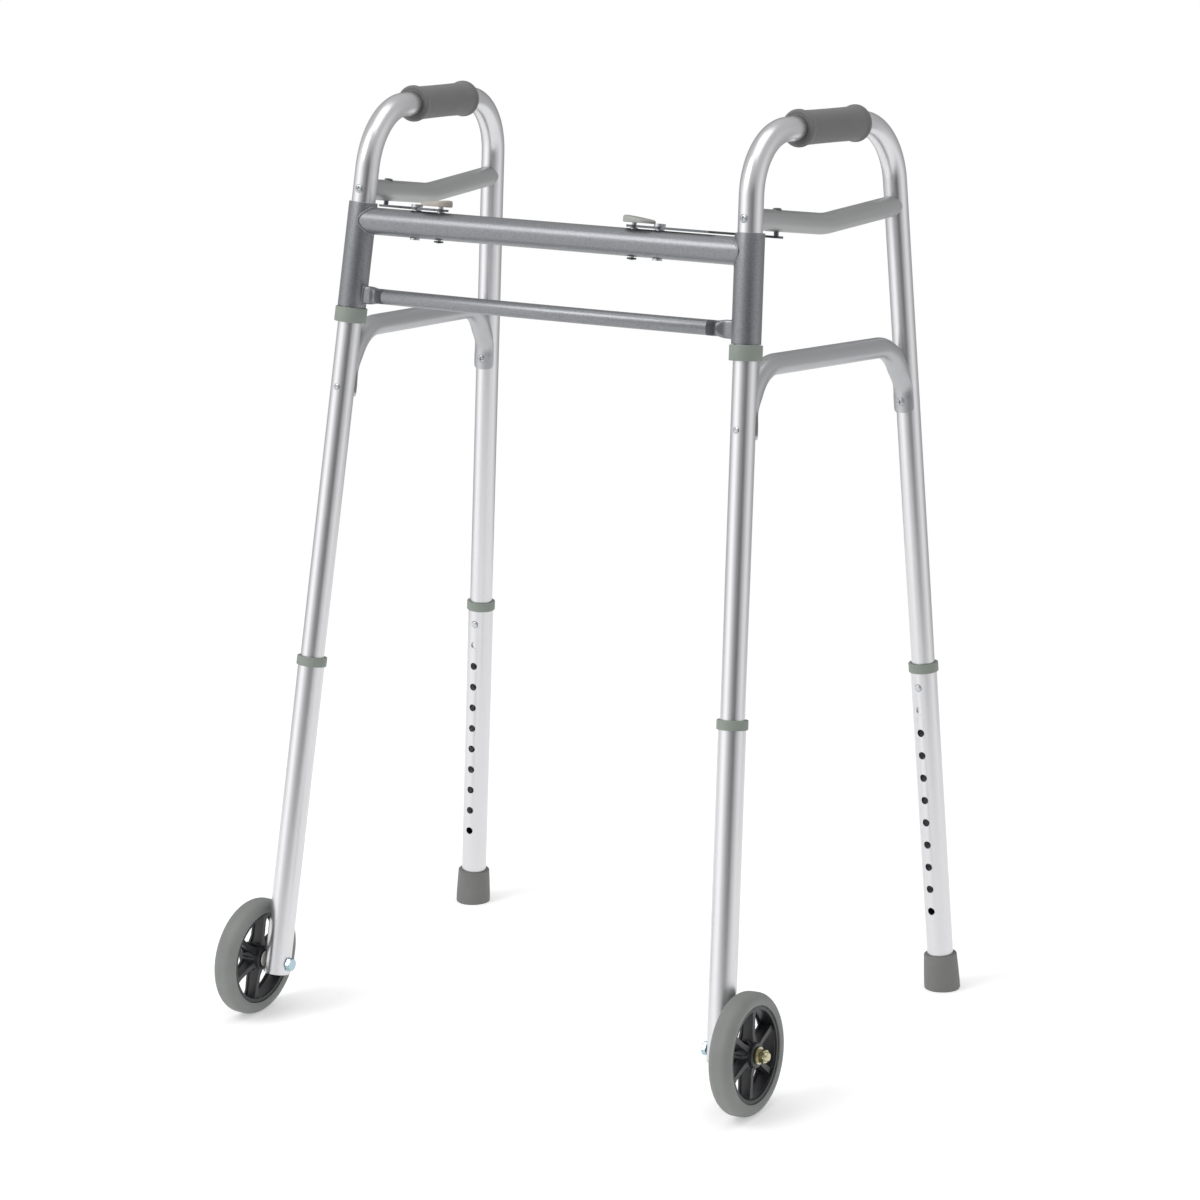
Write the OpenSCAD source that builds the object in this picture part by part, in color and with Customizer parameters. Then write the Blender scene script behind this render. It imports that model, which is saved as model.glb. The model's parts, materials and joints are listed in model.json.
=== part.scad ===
// Two-button folding walking frame with front wheels.
// Millimetres, +Z up, the user stands at +Y, the wheels are at -Y.

/* [Overall] */
// Half the distance between the two front leg axes at the floor
front_half = 278; // [240:1:310]
// Distance from a front leg axis to its rear leg axis at the floor
side_depth = 447; // [400:1:480]
// Rearward lean of the front uprights, degrees
post_lean = 9.4; // [6:0.1:12]
// Inward lean of the front uprights, degrees
post_splay = 2.9; // [2:0.1:3.4]
// Outward toe of each side frame, degrees
side_toe = 4.4; // [2:0.1:6]
// Angle between the front upright and the rear leg, degrees
leg_spread = 10.9; // [9.5:0.1:12]
// Height of the upper front corner, along the front upright
corner_h = 988; // [940:1:1040]
// Rise of the hand bar away from the square, degrees
hand_rise = 5.9; // [3:0.1:8]

/* [Tubes] */
// Outside diameter of the bent side tube
tube_d = 25.4; // [22:0.1:28]
// Wall of the side tube and of the leg extensions
tube_wall = 1.5; // [1.2:0.1:2]
// Centre-line radius of the two hand-bar corners
bend_r = 70; // [60:1:80]
// Outside diameter of the side rail and the lower brace
rail_d = 22.2; // [19:0.1:24]
// Wall of the side rail and the lower brace
rail_wall = 1.3; // [1:0.1:1.8]
// Height of the rail along the front upright
rail_h = 902; // [898:0.5:912]
// Distance behind the upright where the rail turns up
rail_turn = 137; // [120:1:150]
// Upward turn of the rail, degrees
rail_rise = 9.9; // [8:0.1:11]
// Centre-line radius of the rail's turn
rail_bend_r = 120; // [90:1:150]
// Height of the brace's top run where it leaves the front upright
brace_h = 753; // [740:1:765]
// Rise of the brace's top run, degrees
brace_rise = 5.2; // [3:0.1:7]
// Centre-line radius of the brace's two bends
brace_bend_r = 48; // [40:1:52]
// Length of each saddle that wraps an upright
saddle_l = 44; // [30:1:50]
// Thickness of the saddles
saddle_t = 2.4; // [1.8:0.1:3]
// Arc of an upright that a saddle wraps, degrees
saddle_arc = 110; // [80:5:130]

/* [Front frame] */
// Height of the upper cross tube along the upright
upper_h = 869; // [860:0.5:876]
// Outside diameter of the upper cross tube
upper_d = 28.6; // [25:0.1:31]
// Height of the lower cross tube along the upright
lower_h = 790.5; // [786:0.5:805]
// Outside diameter of the lower cross tube
lower_d = 16; // [14:0.5:18]
// Forward bow of the lower cross tube
lower_bow = 20; // [10:1:26]
// Wall of the sleeves and the two cross tubes
frame_wall = 1.3; // [1:0.1:1.8]
// Top of the pivot sleeves along the upright
sleeve_top = 888; // [885:0.5:889.5]
// Bottom of the pivot sleeves along the upright
sleeve_low = 777; // [768:0.5:779]
// Wall of the plastic bushes in the sleeves
bush_wall = 1.1; // [0.9:0.1:1.4]
// Length of each bush
bush_l = 22; // [15:1:30]
// Height of the flattened ends of the lower cross tube
flat_h = 19; // [17:0.5:21]
// Thickness of the flattened ends
flat_t = 8; // [6:0.5:10]
// Length of the flattened ends
flat_l = 18; // [14:1:24]
// Diameter of the vent hole behind the lower cross tube
vent_d = 3; // [2:0.5:5]

/* [Hand grips and collars] */
// Diameter of the grips
grip_d = 35; // [32:0.5:38]
// Diameter of the grips' rolled ends
grip_end_d = 39; // [37:0.5:42]
// Length of the grips
grip_l = 116; // [100:1:124]
// Outside diameter of the collars under the sleeves
collar_d = 34; // [32:0.5:37]
// Height of the collars under the sleeves
collar_l = 16; // [10:0.5:18]

/* [Leg extensions] */
// Distance between two height settings
hole_pitch = 25.4; // [20:0.1:26]
// Number of height holes
hole_n = 11; // [9:1:11]
// Height of the front snap button above the floor, along the leg
front_button_h = 374; // [372:1:390]
// Height of the rear snap button above the floor, along the leg
rear_button_h = 346; // [343:1:360]
// Diameter of a snap button
button_d = 7.6; // [6:0.1:8]
// How far a button stands out of the extension
button_out = 1.6; // [1:0.1:2.5]
// Travel of a button
button_travel = 4.4; // [3.4:0.1:4.8]
// Top of the extension above its button
ext_over = 24; // [20:1:30]
// Outside diameter of the rings on the extensions
ring_d = 32.4; // [31.5:0.1:35]
// Height of the rings on the extensions
ring_l = 10; // [8:0.5:14]
// Diameter of the rubber tips at the floor
tip_d = 39.5; // [38:0.5:44]
// Diameter of the rubber tips at the top
tip_top_d = 36.5; // [34:0.5:38]
// Height of the rubber tips
tip_h = 40; // [36:1:50]

/* [Wheels] */
// Diameter of the wheels
wheel_d = 127; // [110:1:150]
// Width of the tyres
wheel_w = 25; // [22:0.5:28]
// Gap between the leg extension and the wheel
wheel_gap = 3.2; // [2.5:0.1:5]
// Rounding of the tyre's shoulders
tyre_round = 6; // [3:0.5:8]
// Depth of the rubber on the rim
tyre_t = 13; // [10:0.5:16]
// Thickness of the rim under the tyre
rim_t = 4; // [3:0.5:6]
// Diameter of the hub
hub_d = 27; // [24:0.5:32]
// Number of spokes
spoke_n = 6; // [5:1:8]
// Thickness of the spokes
spoke_t = 5; // [4:0.5:8]
// Diameter of the axle bolt
axle_d = 8; // [6:0.5:10]
// Extension left below the axle
axle_under = 12; // [10:0.5:16]

/* [Fold locks] */
// Distance of the rail's stud behind the upright axis
stud_r = 48.5; // [44:0.5:52]
// Distance of the right link's pivot from the upright axis
pivot_right = 105; // [95:1:115]
// Distance of the left link's pivot from the upright axis
pivot_left = 69; // [66:1:80]
// Distance from a link's pivot to its lock pin
latch_reach = 30; // [28:0.5:34]
// Turn of a link per degree of fold
link_ratio = 0.1; // [0.08:0.01:0.12]
// Furthest fold of the right side, degrees
fold_right = 82; // [70:1:83]
// Furthest fold of the left side, degrees
fold_left = 62; // [50:1:64]
// Width of the links
link_w = 14; // [12:0.5:16]
// Thickness of the links
link_t = 2.4; // [2:0.1:2.6]
// Gap under the links
link_gap = 1.2; // [1:0.1:1.6]
// Diameter of the rail's stud
stud_d = 5; // [4:0.5:6]
// Diameter of the link's pivot rivet
rivet_d = 6; // [5:0.5:7]
// Diameter of the pivot rivet's head
rivet_head_d = 12; // [10:0.5:13]
// Diameter of the lock pin
pin_d = 5; // [4:0.5:6]
// Diameter of the lock pin's shoulder
shoulder_d = 8.4; // [8:0.1:9]
// Travel of the release paddle
press = 2; // [1.5:0.1:2.5]
// Length of the release paddle
paddle_l = 35; // [32:0.5:38]
// Width of the release paddle
paddle_w = 24; // [20:0.5:28]
// Thickness of the release paddle at its inner end
paddle_t = 7.5; // [6:0.5:9]
// Slope of the release paddle's top, degrees
paddle_slope = 7; // [4:0.5:9]

/* [Clearances] */
// Radial running fit of turning and sliding pairs
run_fit = 0.06; // [0.02:0.01:0.1]
// Ordinary gap between parts that move past each other
gap = 0.4; // [0.3:0.05:0.6]
// Extra width of the link's curved slot
slot_play = 1.3; // [1.1:0.1:1.6]

/* [Hidden] */
$fn = 96;
big = 400;

tube_r = tube_d / 2;
bore_r = tube_r - tube_wall;
rail_r = rail_d / 2;
rail_bore_r = rail_r - rail_wall;
upper_r = upper_d / 2;
lower_r = lower_d / 2;
bush_in_r = tube_r + run_fit;
bush_out_r = bush_in_r + bush_wall;
sleeve_r = bush_out_r + frame_wall;
ext_in_r = tube_r + run_fit;
ext_r = ext_in_r + tube_wall;
button_r = button_d / 2;
wheel_r = wheel_d / 2;
axle_r = axle_d / 2;
stud_half = stud_d / 2;
pin_r = pin_d / 2;
shoulder_r = shoulder_d / 2;

// world height gained per millimetre along each of a side frame's own axes
up_gain = cos(post_splay) * cos(post_lean);
back_gain = sin(side_toe) * sin(post_splay) * cos(post_lean) - cos(side_toe) * sin(post_lean);
out_gain = sin(post_splay) * cos(post_lean);

// rear leg line in the side frame, from the floor up
foot_z = -side_depth * back_gain / up_gain;
rear_up = [-sin(leg_spread), cos(leg_spread)];
rear_lift = up_gain * cos(leg_spread) - back_gain * sin(leg_spread);
rear_corner_u = (corner_h - foot_z + tan(hand_rise) * side_depth) / (cos(leg_spread) + tan(hand_rise) * sin(leg_spread));
function rear_at(u) = [side_depth, foot_z] + rear_up * u;
front_corner = [0, corner_h];
rear_corner = rear_at(rear_corner_u);

// leg ends and buttons
front_end = front_button_h - 1.5 * hole_pitch;
rear_end = rear_button_h - 1.5 * hole_pitch;
rear_low = 8;
ring_over = 2;

// wheel seat: the tyre's lowest point touches the floor
wheel_off = ext_r + wheel_gap + wheel_w / 2;
wheel_drop = (wheel_r - tyre_round) * sqrt(1 - out_gain * out_gain) + (wheel_w / 2 - tyre_round) * out_gain + tyre_round;
axle_h = (wheel_drop - wheel_off * out_gain) / up_gain;

// the middle of the whole frame is brought over Y = 0
wheel_front = axle_h * cos(post_splay) * sin(post_lean) + wheel_off * sin(post_splay) * sin(post_lean) - wheel_r;
foot_back = side_depth * (cos(side_toe) * cos(post_lean) + sin(side_toe) * sin(post_splay) * sin(post_lean)) + foot_z * cos(post_splay) * sin(post_lean);
y_mid = (wheel_front + foot_back + tip_d / 2) / 2;

// cross tubes in the leaning front plane
upper_z = upper_h * cos(post_splay);
upper_x = front_half - upper_h * sin(post_splay);
crown_z = upper_z + upper_r;
lower_z = lower_h * cos(post_splay);
lower_x = front_half - lower_h * sin(post_splay);
bow_half = lower_x - sleeve_r - flat_l;
bow_r = (bow_half * bow_half + lower_bow * lower_bow) / (2 * lower_bow);
bow_a = asin(bow_half / bow_r);

// rail and brace run in the side plane as [behind the upright, up]
rail_start = 7;
rail_pts = [[rail_start, rail_h], [rail_turn, rail_h], rail_hit(rail_start)];
function rail_hit(short) = let (
    slope = tan(rail_rise),
    u = (rail_h - foot_z + slope * (side_depth - rail_turn)) / (cos(leg_spread) + slope * sin(leg_spread)))
    rear_at(u) - [short, short * slope];
brace_sink = 2;
brace_fall = 58;
brace_out_f = tube_r + rail_r + 2;
brace_out_r = tube_r + rail_r + 5;
brace_top_f = [brace_out_f, brace_h + brace_out_f * tan(brace_rise)];
brace_u = (brace_h - foot_z + tan(brace_rise) * side_depth) / (cos(leg_spread) + tan(brace_rise) * sin(leg_spread));
brace_top_r = rear_at(brace_u) - [brace_out_r, brace_out_r * tan(brace_rise)];
brace_pts = [
    [brace_sink, brace_top_f[1] - brace_fall],
    brace_top_f,
    brace_top_r,
    rear_at(brace_u - brace_fall) - [brace_sink, 0]];
saddle_past_f = 16;
saddle_past_r = 14;
saddle_f = brace_top_f[1] - brace_fall - saddle_past_f;
saddle_r = brace_u - brace_fall - saddle_past_r;

// screws and rivets through the uprights, and the plugs in the rail's ends
screw_r = 2.4;
screw_head_r = 4.6;
screw_head_h = 1.8;
rivet_out_r = 3.6;
rivet_out_h = 1;
plug_l = 12;
plug_back = 2;
plug_fit_f = 0.1;
plug_fit_r = 0.4;
rail_u = (rail_h - foot_z + tan(rail_rise) * (side_depth - rail_turn)) / (cos(leg_spread) + tan(rail_rise) * sin(leg_spread));
front_rivet_z = saddle_f + 10;
rear_screw_u = saddle_r + 12;

// fold lock: the stud's path seen from the link, and the arc through three points of it
link_mid = upper_r + link_gap + link_t / 2;
function stud_seen(pivot, fold) = let (
    a = fold - side_toe,
    x = pivot - link_mid * tan(post_splay) - stud_r * sin(a) / cos(post_splay),
    y = stud_r * cos(a),
    t = -link_ratio * fold)
    [x * cos(t) - y * sin(t), x * sin(t) + y * cos(t)];
function arc_centre(p, q, r) = let (
    d = 2 * (p[0] * (q[1] - r[1]) + q[0] * (r[1] - p[1]) + r[0] * (p[1] - q[1])),
    pp = p * p, qq = q * q, rr = r * r)
    [(pp * (q[1] - r[1]) + qq * (r[1] - p[1]) + rr * (p[1] - q[1])) / d,
     (pp * (r[0] - q[0]) + qq * (p[0] - r[0]) + rr * (q[0] - p[0])) / d];
link_low = link_gap;
link_high = link_gap + link_t;
paddle_low = link_high + press + gap;
pin_tail = 3.6;
pin_seat = 9;
pin_grab = 4;
pin_under = -upper_d - pin_tail;
stud_low = (crown_z + link_high - gap - stud_r * sin(side_toe) * sin(post_splay)) / cos(post_splay);

// ---------- placing ----------

module flip(s) { if (s < 0) mirror([1, 0, 0]) children(); else children(); }

// the leaning plane of the front frame: X across, Z up the lean
module front_plane() { translate([0, -y_mid, 0]) rotate([-post_lean, 0, 0]) children(); }

// a front upright: Z along its axis, X outward, Y to the rear
module post(s) { front_plane() flip(s) translate([front_half, 0, 0]) rotate([0, -post_splay, 0]) children(); }

// a side frame: as the upright, with Y toed out along the frame
module side(s) { post(s) rotate([0, 0, -side_toe]) children(); }

// the same, with X to the rear and Y up, for bent tubes
module side_plane(s) { side(s) rotate([90, 0, 90]) children(); }

// a rear leg: Z up its axis from the floor
module rear_leg(s) { side(s) translate([0, side_depth, foot_z]) rotate([leg_spread, 0, 0]) children(); }

// a fold lock: the origin on the cross tube's crown at the link's pivot
module latch(s) { front_plane() flip(s) translate([upper_x - (s > 0 ? pivot_right : pivot_left), 0, crown_z]) children(); }

// ---------- bent tube: the bends are a hair fuller than the runs that end in them ----------

swell = 0.2;
lap = 0.3;

function dir(p, q) = (q - p) / norm(q - p);
function turn(p, q, r) = acos(dir(p, q) * dir(q, r));
function cut(p, q, r, b) = b * tan(turn(p, q, r) / 2);

module run(p, q, r) {
    translate([p[0], p[1], 0])
        rotate([0, 0, atan2(q[1] - p[1], q[0] - p[0])])
            rotate([0, 90, 0]) cylinder(h = norm(q - p), r = r);
}

module corner(p, q, r, b, rad) {
    d = dir(p, q);
    e = dir(q, r);
    way = cross(d, e) > 0 ? 1 : -1;
    a = q - d * cut(p, q, r, b);
    c = a + [-d[1], d[0]] * way * b;
    start = way > 0 ? atan2(a[1] - c[1], a[0] - c[0]) : atan2(a[1] - c[1], a[0] - c[0]) - turn(p, q, r);
    translate([c[0], c[1], 0]) rotate([0, 0, start])
        rotate_extrude(angle = turn(p, q, r)) translate([b, 0]) circle(r = rad + swell);
}

module bent(pts, b, rad) {
    n = len(pts);
    for (i = [0 : n - 2]) {
        p = i == 0 ? pts[0] : pts[i] + dir(pts[i], pts[i + 1]) * (cut(pts[i - 1], pts[i], pts[i + 1], b) - lap);
        q = i == n - 2 ? pts[n - 1] : pts[i + 1] - dir(pts[i], pts[i + 1]) * (cut(pts[i], pts[i + 1], pts[i + 2], b) - lap);
        run(p, q, rad);
    }
    for (i = [1 : n - 2]) corner(pts[i - 1], pts[i], pts[i + 1], b, rad);
}

module bent_tube(pts, b, ro, ri) {
    difference() {
        bent(pts, b, ro);
        bent(pts, b, ri);
    }
}

module ring(ro, ri, h) { difference() { cylinder(r = ro, h = h); translate([0, 0, -1]) cylinder(r = ri, h = h + 2); } }

// a hole or pin across a tube, along Y, from y0 to y1
module across(z, y0, y1, r) { translate([0, y0, z]) rotate([-90, 0, 0]) cylinder(r = r, h = y1 - y0); }

// ---------- front frame ----------

module sleeve(s) {
    color("#4b4e52") post(s) translate([0, 0, sleeve_low]) ring(sleeve_r, bush_out_r, sleeve_top - sleeve_low);
}

module bushes(s) {
    color("#d8d8d2") post(s) {
        translate([0, 0, sleeve_low]) ring(bush_out_r, bush_in_r, bush_l);
        translate([0, 0, sleeve_top - bush_l]) ring(bush_out_r, bush_in_r, bush_l);
    }
}

module sleeve_cut(s) { post(s) translate([0, 0, sleeve_low - big / 4]) cylinder(r = sleeve_r, h = sleeve_top - sleeve_low + big / 2); }

module upper_cross_tube() {
    color("#4b4e52") difference() {
        front_plane() translate([0, 0, upper_z]) rotate([0, 90, 0]) cylinder(r = upper_r, h = 2 * upper_x, center = true);
        front_plane() translate([0, 0, upper_z]) rotate([0, 90, 0]) cylinder(r = upper_r - frame_wall, h = 2 * upper_x + 2, center = true);
        for (s = [-1, 1]) {
            sleeve_cut(s);
            latch(s) {
                translate([0, 0, -upper_d - 1]) cylinder(r = rivet_d / 2, h = upper_d + 2);
                translate([-latch_reach, 0, -upper_r]) cylinder(r = shoulder_r + gap, h = upper_d);
                translate([-latch_reach, 0, -upper_d - 1]) cylinder(r = pin_r + gap, h = upper_r);
            }
        }
    }
}

module flat_end() {
    pressed = 0.24 * flat_l;
    slab_x = lower_x - sleeve_r - pressed;
    hull() {
        translate([bow_half - 1, 0, 0]) rotate([0, 90, bow_a]) cylinder(r = lower_r, h = 1, $fn = 32);
        translate([slab_x, -flat_t / 2, -flat_h / 2]) cube([1, flat_t, flat_h]);
    }
    translate([slab_x, -flat_t / 2, -flat_h / 2]) cube([sleeve_r, flat_t, flat_h]);
}

module lower_cross_tube() {
    color("#4b4e52") difference() {
        front_plane() translate([0, 0, lower_z]) {
            difference() {
                translate([0, bow_r - lower_bow, 0]) rotate([0, 0, -90 - bow_a]) rotate_extrude(angle = 2 * bow_a) translate([bow_r, 0]) circle(r = lower_r);
                translate([0, bow_r - lower_bow, 0]) rotate([0, 0, -90 - bow_a]) rotate_extrude(angle = 2 * bow_a) translate([bow_r, 0]) circle(r = lower_r - frame_wall);
            }
            flat_end();
            mirror([1, 0, 0]) flat_end();
        }
        front_plane() translate([0, -lower_bow, lower_z]) rotate([-90, 0, 0]) cylinder(r = vent_d / 2, h = 2 * lower_r);
        sleeve_cut(-1);
        sleeve_cut(1);
    }
}

module link_pivot(s) {
    low_head = 2;
    high_head = 3;
    float = 0.2;
    color("#b9bcc0") latch(s) {
        translate([0, 0, -upper_d - low_head]) cylinder(r = rivet_d / 2, h = upper_d + low_head + link_high + float + high_head);
        translate([0, 0, -upper_d - low_head]) cylinder(r = rivet_head_d / 2 - 1, h = low_head);
        translate([0, 0, link_high + float]) cylinder(r = rivet_head_d / 2, h = high_head);
        cylinder(r = rivet_head_d / 2 - 1, h = link_gap - float);
    }
}

// ---------- side frames ----------

module front_shanks(s, r) {
    side(s) {
        across(rail_h, -tube_r, tube_r + plug_l, r);
        across(front_rivet_z, -tube_r, tube_r + saddle_t, r);
    }
}

module rear_shanks(s, r) {
    rear_leg(s) {
        across(rail_u, -tube_r - plug_l, tube_r, r);
        across(rear_screw_u, -tube_r - saddle_t, tube_r, r);
    }
}

module upright_cut(s) {
    side(s) cylinder(r = tube_r, h = corner_h - bend_r);
    rear_leg(s) cylinder(r = tube_r, h = rear_corner_u - bend_r);
}

module side_tube(s) {
    pts = [[0, front_end], front_corner, rear_corner, rear_at(rear_end)];
    over = [[0, front_end - 1], front_corner, rear_corner, rear_at(rear_end - 1)];
    color("#c9ccd1") difference() {
        side_plane(s) bent(pts, bend_r, tube_r);
        side_plane(s) bent(over, bend_r, bore_r);
        side(s) across(front_button_h, 0, tube_r + 1, button_r + run_fit);
        rear_leg(s) across(rear_button_h, -tube_r - 1, 0, button_r + run_fit);
        front_shanks(s, screw_r);
        rear_shanks(s, screw_r);
    }
}

module side_rail(s) {
    color("#8d9092") difference() {
        side_plane(s) bent_tube(rail_pts, rail_bend_r, rail_r, rail_bore_r);
        upright_cut(s);
        side(s) translate([0, stud_r, rail_h - rail_d]) cylinder(r = stud_half, h = 2 * rail_d);
    }
}

module lower_brace(s) {
    color("#b4b7bb") difference() {
        union() {
            side_plane(s) bent_tube(brace_pts, brace_bend_r, rail_r, rail_bore_r);
            side(s) translate([0, 0, saddle_f]) rotate([0, 0, 90 - saddle_arc / 2])
                rotate_extrude(angle = saddle_arc) translate([tube_r - 1, 0]) square([saddle_t + 1, saddle_l]);
            rear_leg(s) translate([0, 0, saddle_r]) rotate([0, 0, -90 - saddle_arc / 2])
                rotate_extrude(angle = saddle_arc) translate([tube_r - 1, 0]) square([saddle_t + 1, saddle_l]);
        }
        upright_cut(s);
        front_shanks(s, screw_r);
        rear_shanks(s, screw_r);
    }
}

module fasteners(s) {
    color("#a9adb3") {
        front_shanks(s, screw_r);
        rear_shanks(s, screw_r);
        side(s) {
            across(rail_h, -tube_r - screw_head_h, -tube_r, screw_head_r);
            across(rail_h, tube_r + plug_back, tube_r + plug_l, rail_bore_r - plug_fit_f);
            across(front_rivet_z, -tube_r - rivet_out_h, -tube_r, rivet_out_r);
            across(front_rivet_z, tube_r + saddle_t, tube_r + saddle_t + rivet_out_h, rivet_out_r);
        }
        rear_leg(s) {
            across(rail_u, tube_r, tube_r + screw_head_h, screw_head_r);
            across(rail_u, -tube_r - plug_l, -tube_r - plug_back, rail_bore_r - plug_fit_r);
            across(rear_screw_u, -tube_r - saddle_t - screw_head_h, -tube_r - saddle_t, screw_head_r);
            across(rear_screw_u, tube_r, tube_r + rivet_out_h, rivet_out_r);
        }
    }
}

module link_stud(s) {
    head = 1.8;
    head_over = 2;
    color("#8a8d90") side(s) translate([0, stud_r, stud_low]) {
        cylinder(r = stud_half, h = rail_h + rail_r + head - stud_low);
        translate([0, 0, rail_h + rail_r - stud_low]) cylinder(r = stud_half + head_over, h = head);
    }
}

module hand_grip(s) {
    lip = 3.6;
    recess = 3;
    relief = 1.6;
    shift = 6;
    mid = (front_corner + dir(front_corner, rear_corner) * cut([0, 0], front_corner, rear_corner, bend_r)
        + rear_corner - dir(front_corner, rear_corner) * cut(front_corner, rear_corner, rear_at(0), bend_r)) / 2;
    color("#6c6e6d") side_plane(s) translate([mid[0], mid[1], 0]) rotate([0, 0, hand_rise]) translate([shift - grip_l / 2, 0, 0]) rotate([0, 90, 0])
        difference() {
            union() {
                translate([0, 0, lip]) cylinder(r = grip_d / 2, h = grip_l - 2 * lip);
                for (z = [lip, grip_l - lip]) translate([0, 0, z]) rotate_extrude() translate([grip_end_d / 2 - lip, 0]) circle(r = lip);
            }
            translate([0, 0, -1]) cylinder(r = tube_r, h = grip_l + 2);
            translate([0, 0, -1]) cylinder(r = tube_r + relief, h = recess + 1);
            translate([0, 0, grip_l - recess]) cylinder(r = tube_r + relief, h = recess + 1);
        }
}

module sleeve_collar(s) {
    color("#aab3ab") side(s) translate([0, 0, sleeve_low - gap - collar_l]) ring(collar_d / 2, tube_r, collar_l);
}

module snap_clip(dirn) {
    w = 7;
    t = 0.8;
    room = 0.8;
    out = bore_r - room;
    drop = 24;
    rise = 8;
    below_button = 3;
    translate([-w / 2, dirn > 0 ? -out : out - t, -drop]) cube([w, t, drop + rise]);
    translate([-w / 2, dirn > 0 ? out - t : -out, -drop]) cube([w, t, drop - button_r - below_button]);
    translate([-w / 2, 0, -drop]) rotate([0, 90, 0]) rotate([0, 0, -90]) rotate_extrude(angle = 180) translate([out - t, 0]) square([t, w]);
}

module snap_clips(s) {
    color("#7f8388") {
        side(s) translate([0, 0, front_button_h]) snap_clip(1);
        rear_leg(s) translate([0, 0, rear_button_h]) snap_clip(-1);
    }
}

module button_shape() {
    reach = 3.4;
    dome = 0.9;
    flange = 1.6;
    flange_over = 1.2;
    inner = bore_r - reach;
    rotate([-90, 0, 0]) {
        translate([0, 0, inner]) cylinder(r = button_r, h = ext_r + button_out - dome - inner);
        translate([0, 0, ext_r + button_out - dome]) cylinder(r1 = button_r, r2 = button_r - dome, h = dome);
        translate([0, 0, inner]) cylinder(r = button_r + flange_over, h = flange);
    }
}

module front_button(s) { color("#c4c7ca") side(s) translate([0, 0, front_button_h]) button_shape(); }
module rear_button(s) { color("#c4c7ca") rear_leg(s) translate([0, 0, rear_button_h]) rotate([0, 0, 180]) button_shape(); }

// ---------- fold locks ----------

// a flat band of an arc, from angle a0 to a1
module band(c, rad, half, a0, a1) {
    reach = rad + 2 * half;
    mid = (a0 + a1) / 2;
    translate(c) intersection() {
        difference() { circle(r = rad + half); circle(r = rad - half); }
        polygon([[0, 0], reach * [cos(a0), sin(a0)], 2 * reach * [cos(mid), sin(mid)], reach * [cos(a1), sin(a1)]]);
    }
}

module lock_link(s) {
    pivot = s > 0 ? pivot_right : pivot_left;
    fold = s > 0 ? fold_right : fold_left;
    p = stud_seen(pivot, 0);
    q = stud_seen(pivot, fold / 2);
    r = stud_seen(pivot, fold);
    c = arc_centre(p, q, r);
    rad = norm(p - c);
    a0 = atan2(p[1] - c[1], p[0] - c[0]);
    a_end = atan2(r[1] - c[1], r[0] - c[0]);
    a1 = a_end < a0 ? a_end + 360 : a_end;
    half = stud_half + slot_play / 2;
    rim = 3.4;
    tail_r = shoulder_r + gap + rim;
    ease = 0.1;
    color("#7d8084") latch(s) translate([0, 0, link_low]) linear_extrude(height = link_t) difference() {
        union() {
            band(c, rad, link_w / 2, a0, a1);
            for (end = [p, r]) translate(end) circle(r = link_w / 2 + ease);
            rotate(atan2(r[1], r[0])) translate([0, 1 - link_w / 2]) square([norm(r), link_w - 2]);
            circle(r = link_w / 2 + 2 * ease);
            translate([-latch_reach, 1 - link_w / 2]) square([latch_reach, link_w - 2]);
            translate([-latch_reach, 0]) circle(r = tail_r);
        }
        band(c, rad, half, a0, a1);
        for (end = [p, r]) translate(end) circle(r = half + ease / 2);
        circle(r = rivet_d / 2 + run_fit);
        translate([-latch_reach, 0]) circle(r = shoulder_r + gap);
        translate([-latch_reach - pin_r - gap, 0]) square([pin_d + 3 * gap, tail_r + 1]);
    }
}

module lock_pin(s) {
    color("#c4c7ca") latch(s) translate([-latch_reach, 0, 0]) {
        translate([0, 0, pin_under]) cylinder(r = pin_r, h = paddle_low + pin_grab - pin_under);
        translate([0, 0, -pin_seat]) cylinder(r = shoulder_r, h = pin_seat + link_low - gap);
    }
}

module release_paddle(s) {
    start = rivet_head_d / 2 + 2 * gap;
    half = paddle_w / 2;
    color("#9a9c98") latch(s) difference() {
        translate([0, 0, paddle_low]) {
            translate([-start - half, 0, 0]) cylinder(r = half, h = paddle_t);
            translate([-start - paddle_l + half, 0, 0]) cylinder(r = half, h = paddle_t);
            translate([-start - paddle_l + half, -half, 0]) cube([paddle_l - 2 * half, 2 * half, paddle_t]);
        }
        translate([-start - paddle_l, -half - 1, paddle_low + paddle_t]) rotate([0, paddle_slope, 0]) cube([2 * paddle_l, paddle_w + 2, 2 * paddle_t]);
        translate([-latch_reach, 0, paddle_low - 1]) cylinder(r = pin_r, h = pin_grab + 1);
    }
}

module pin_clip(s) {
    up = 0.8;
    width = 2.4;
    height = 1.8;
    color("#5c5f63") latch(s) translate([-latch_reach, 0, pin_under + up]) ring(pin_r + width, pin_r, height);
}

module lock_spring(s) {
    wire = 0.75;
    pitch = 1.4;
    turns = 10;
    touch = 0.05;
    mid = pin_r + gap + wire;
    color("#8f9296") latch(s) translate([-latch_reach, 0, -pin_seat - touch - wire]) rotate_extrude()
        for (i = [0 : turns - 1]) translate([mid, -i * pitch]) circle(r = wire, $fn = 48);
}

// ---------- leg extensions ----------

module front_extension(s) {
    low = axle_h - axle_under;
    color("#c2c5ca") side(s) difference() {
        translate([0, 0, low]) cylinder(r = ext_r, h = front_button_h + ext_over - low);
        translate([0, 0, low - 1]) cylinder(r = ext_in_r, h = big * 2);
        for (i = [0 : hole_n - 1]) across(front_button_h - i * hole_pitch, 0, ext_r + 1, button_r + gap);
        rotate([0, 0, side_toe]) translate([-ext_r - 1, 0, axle_h]) rotate([0, 90, 0]) cylinder(r = axle_r, h = 2 * ext_r + 2);
    }
}

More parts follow.
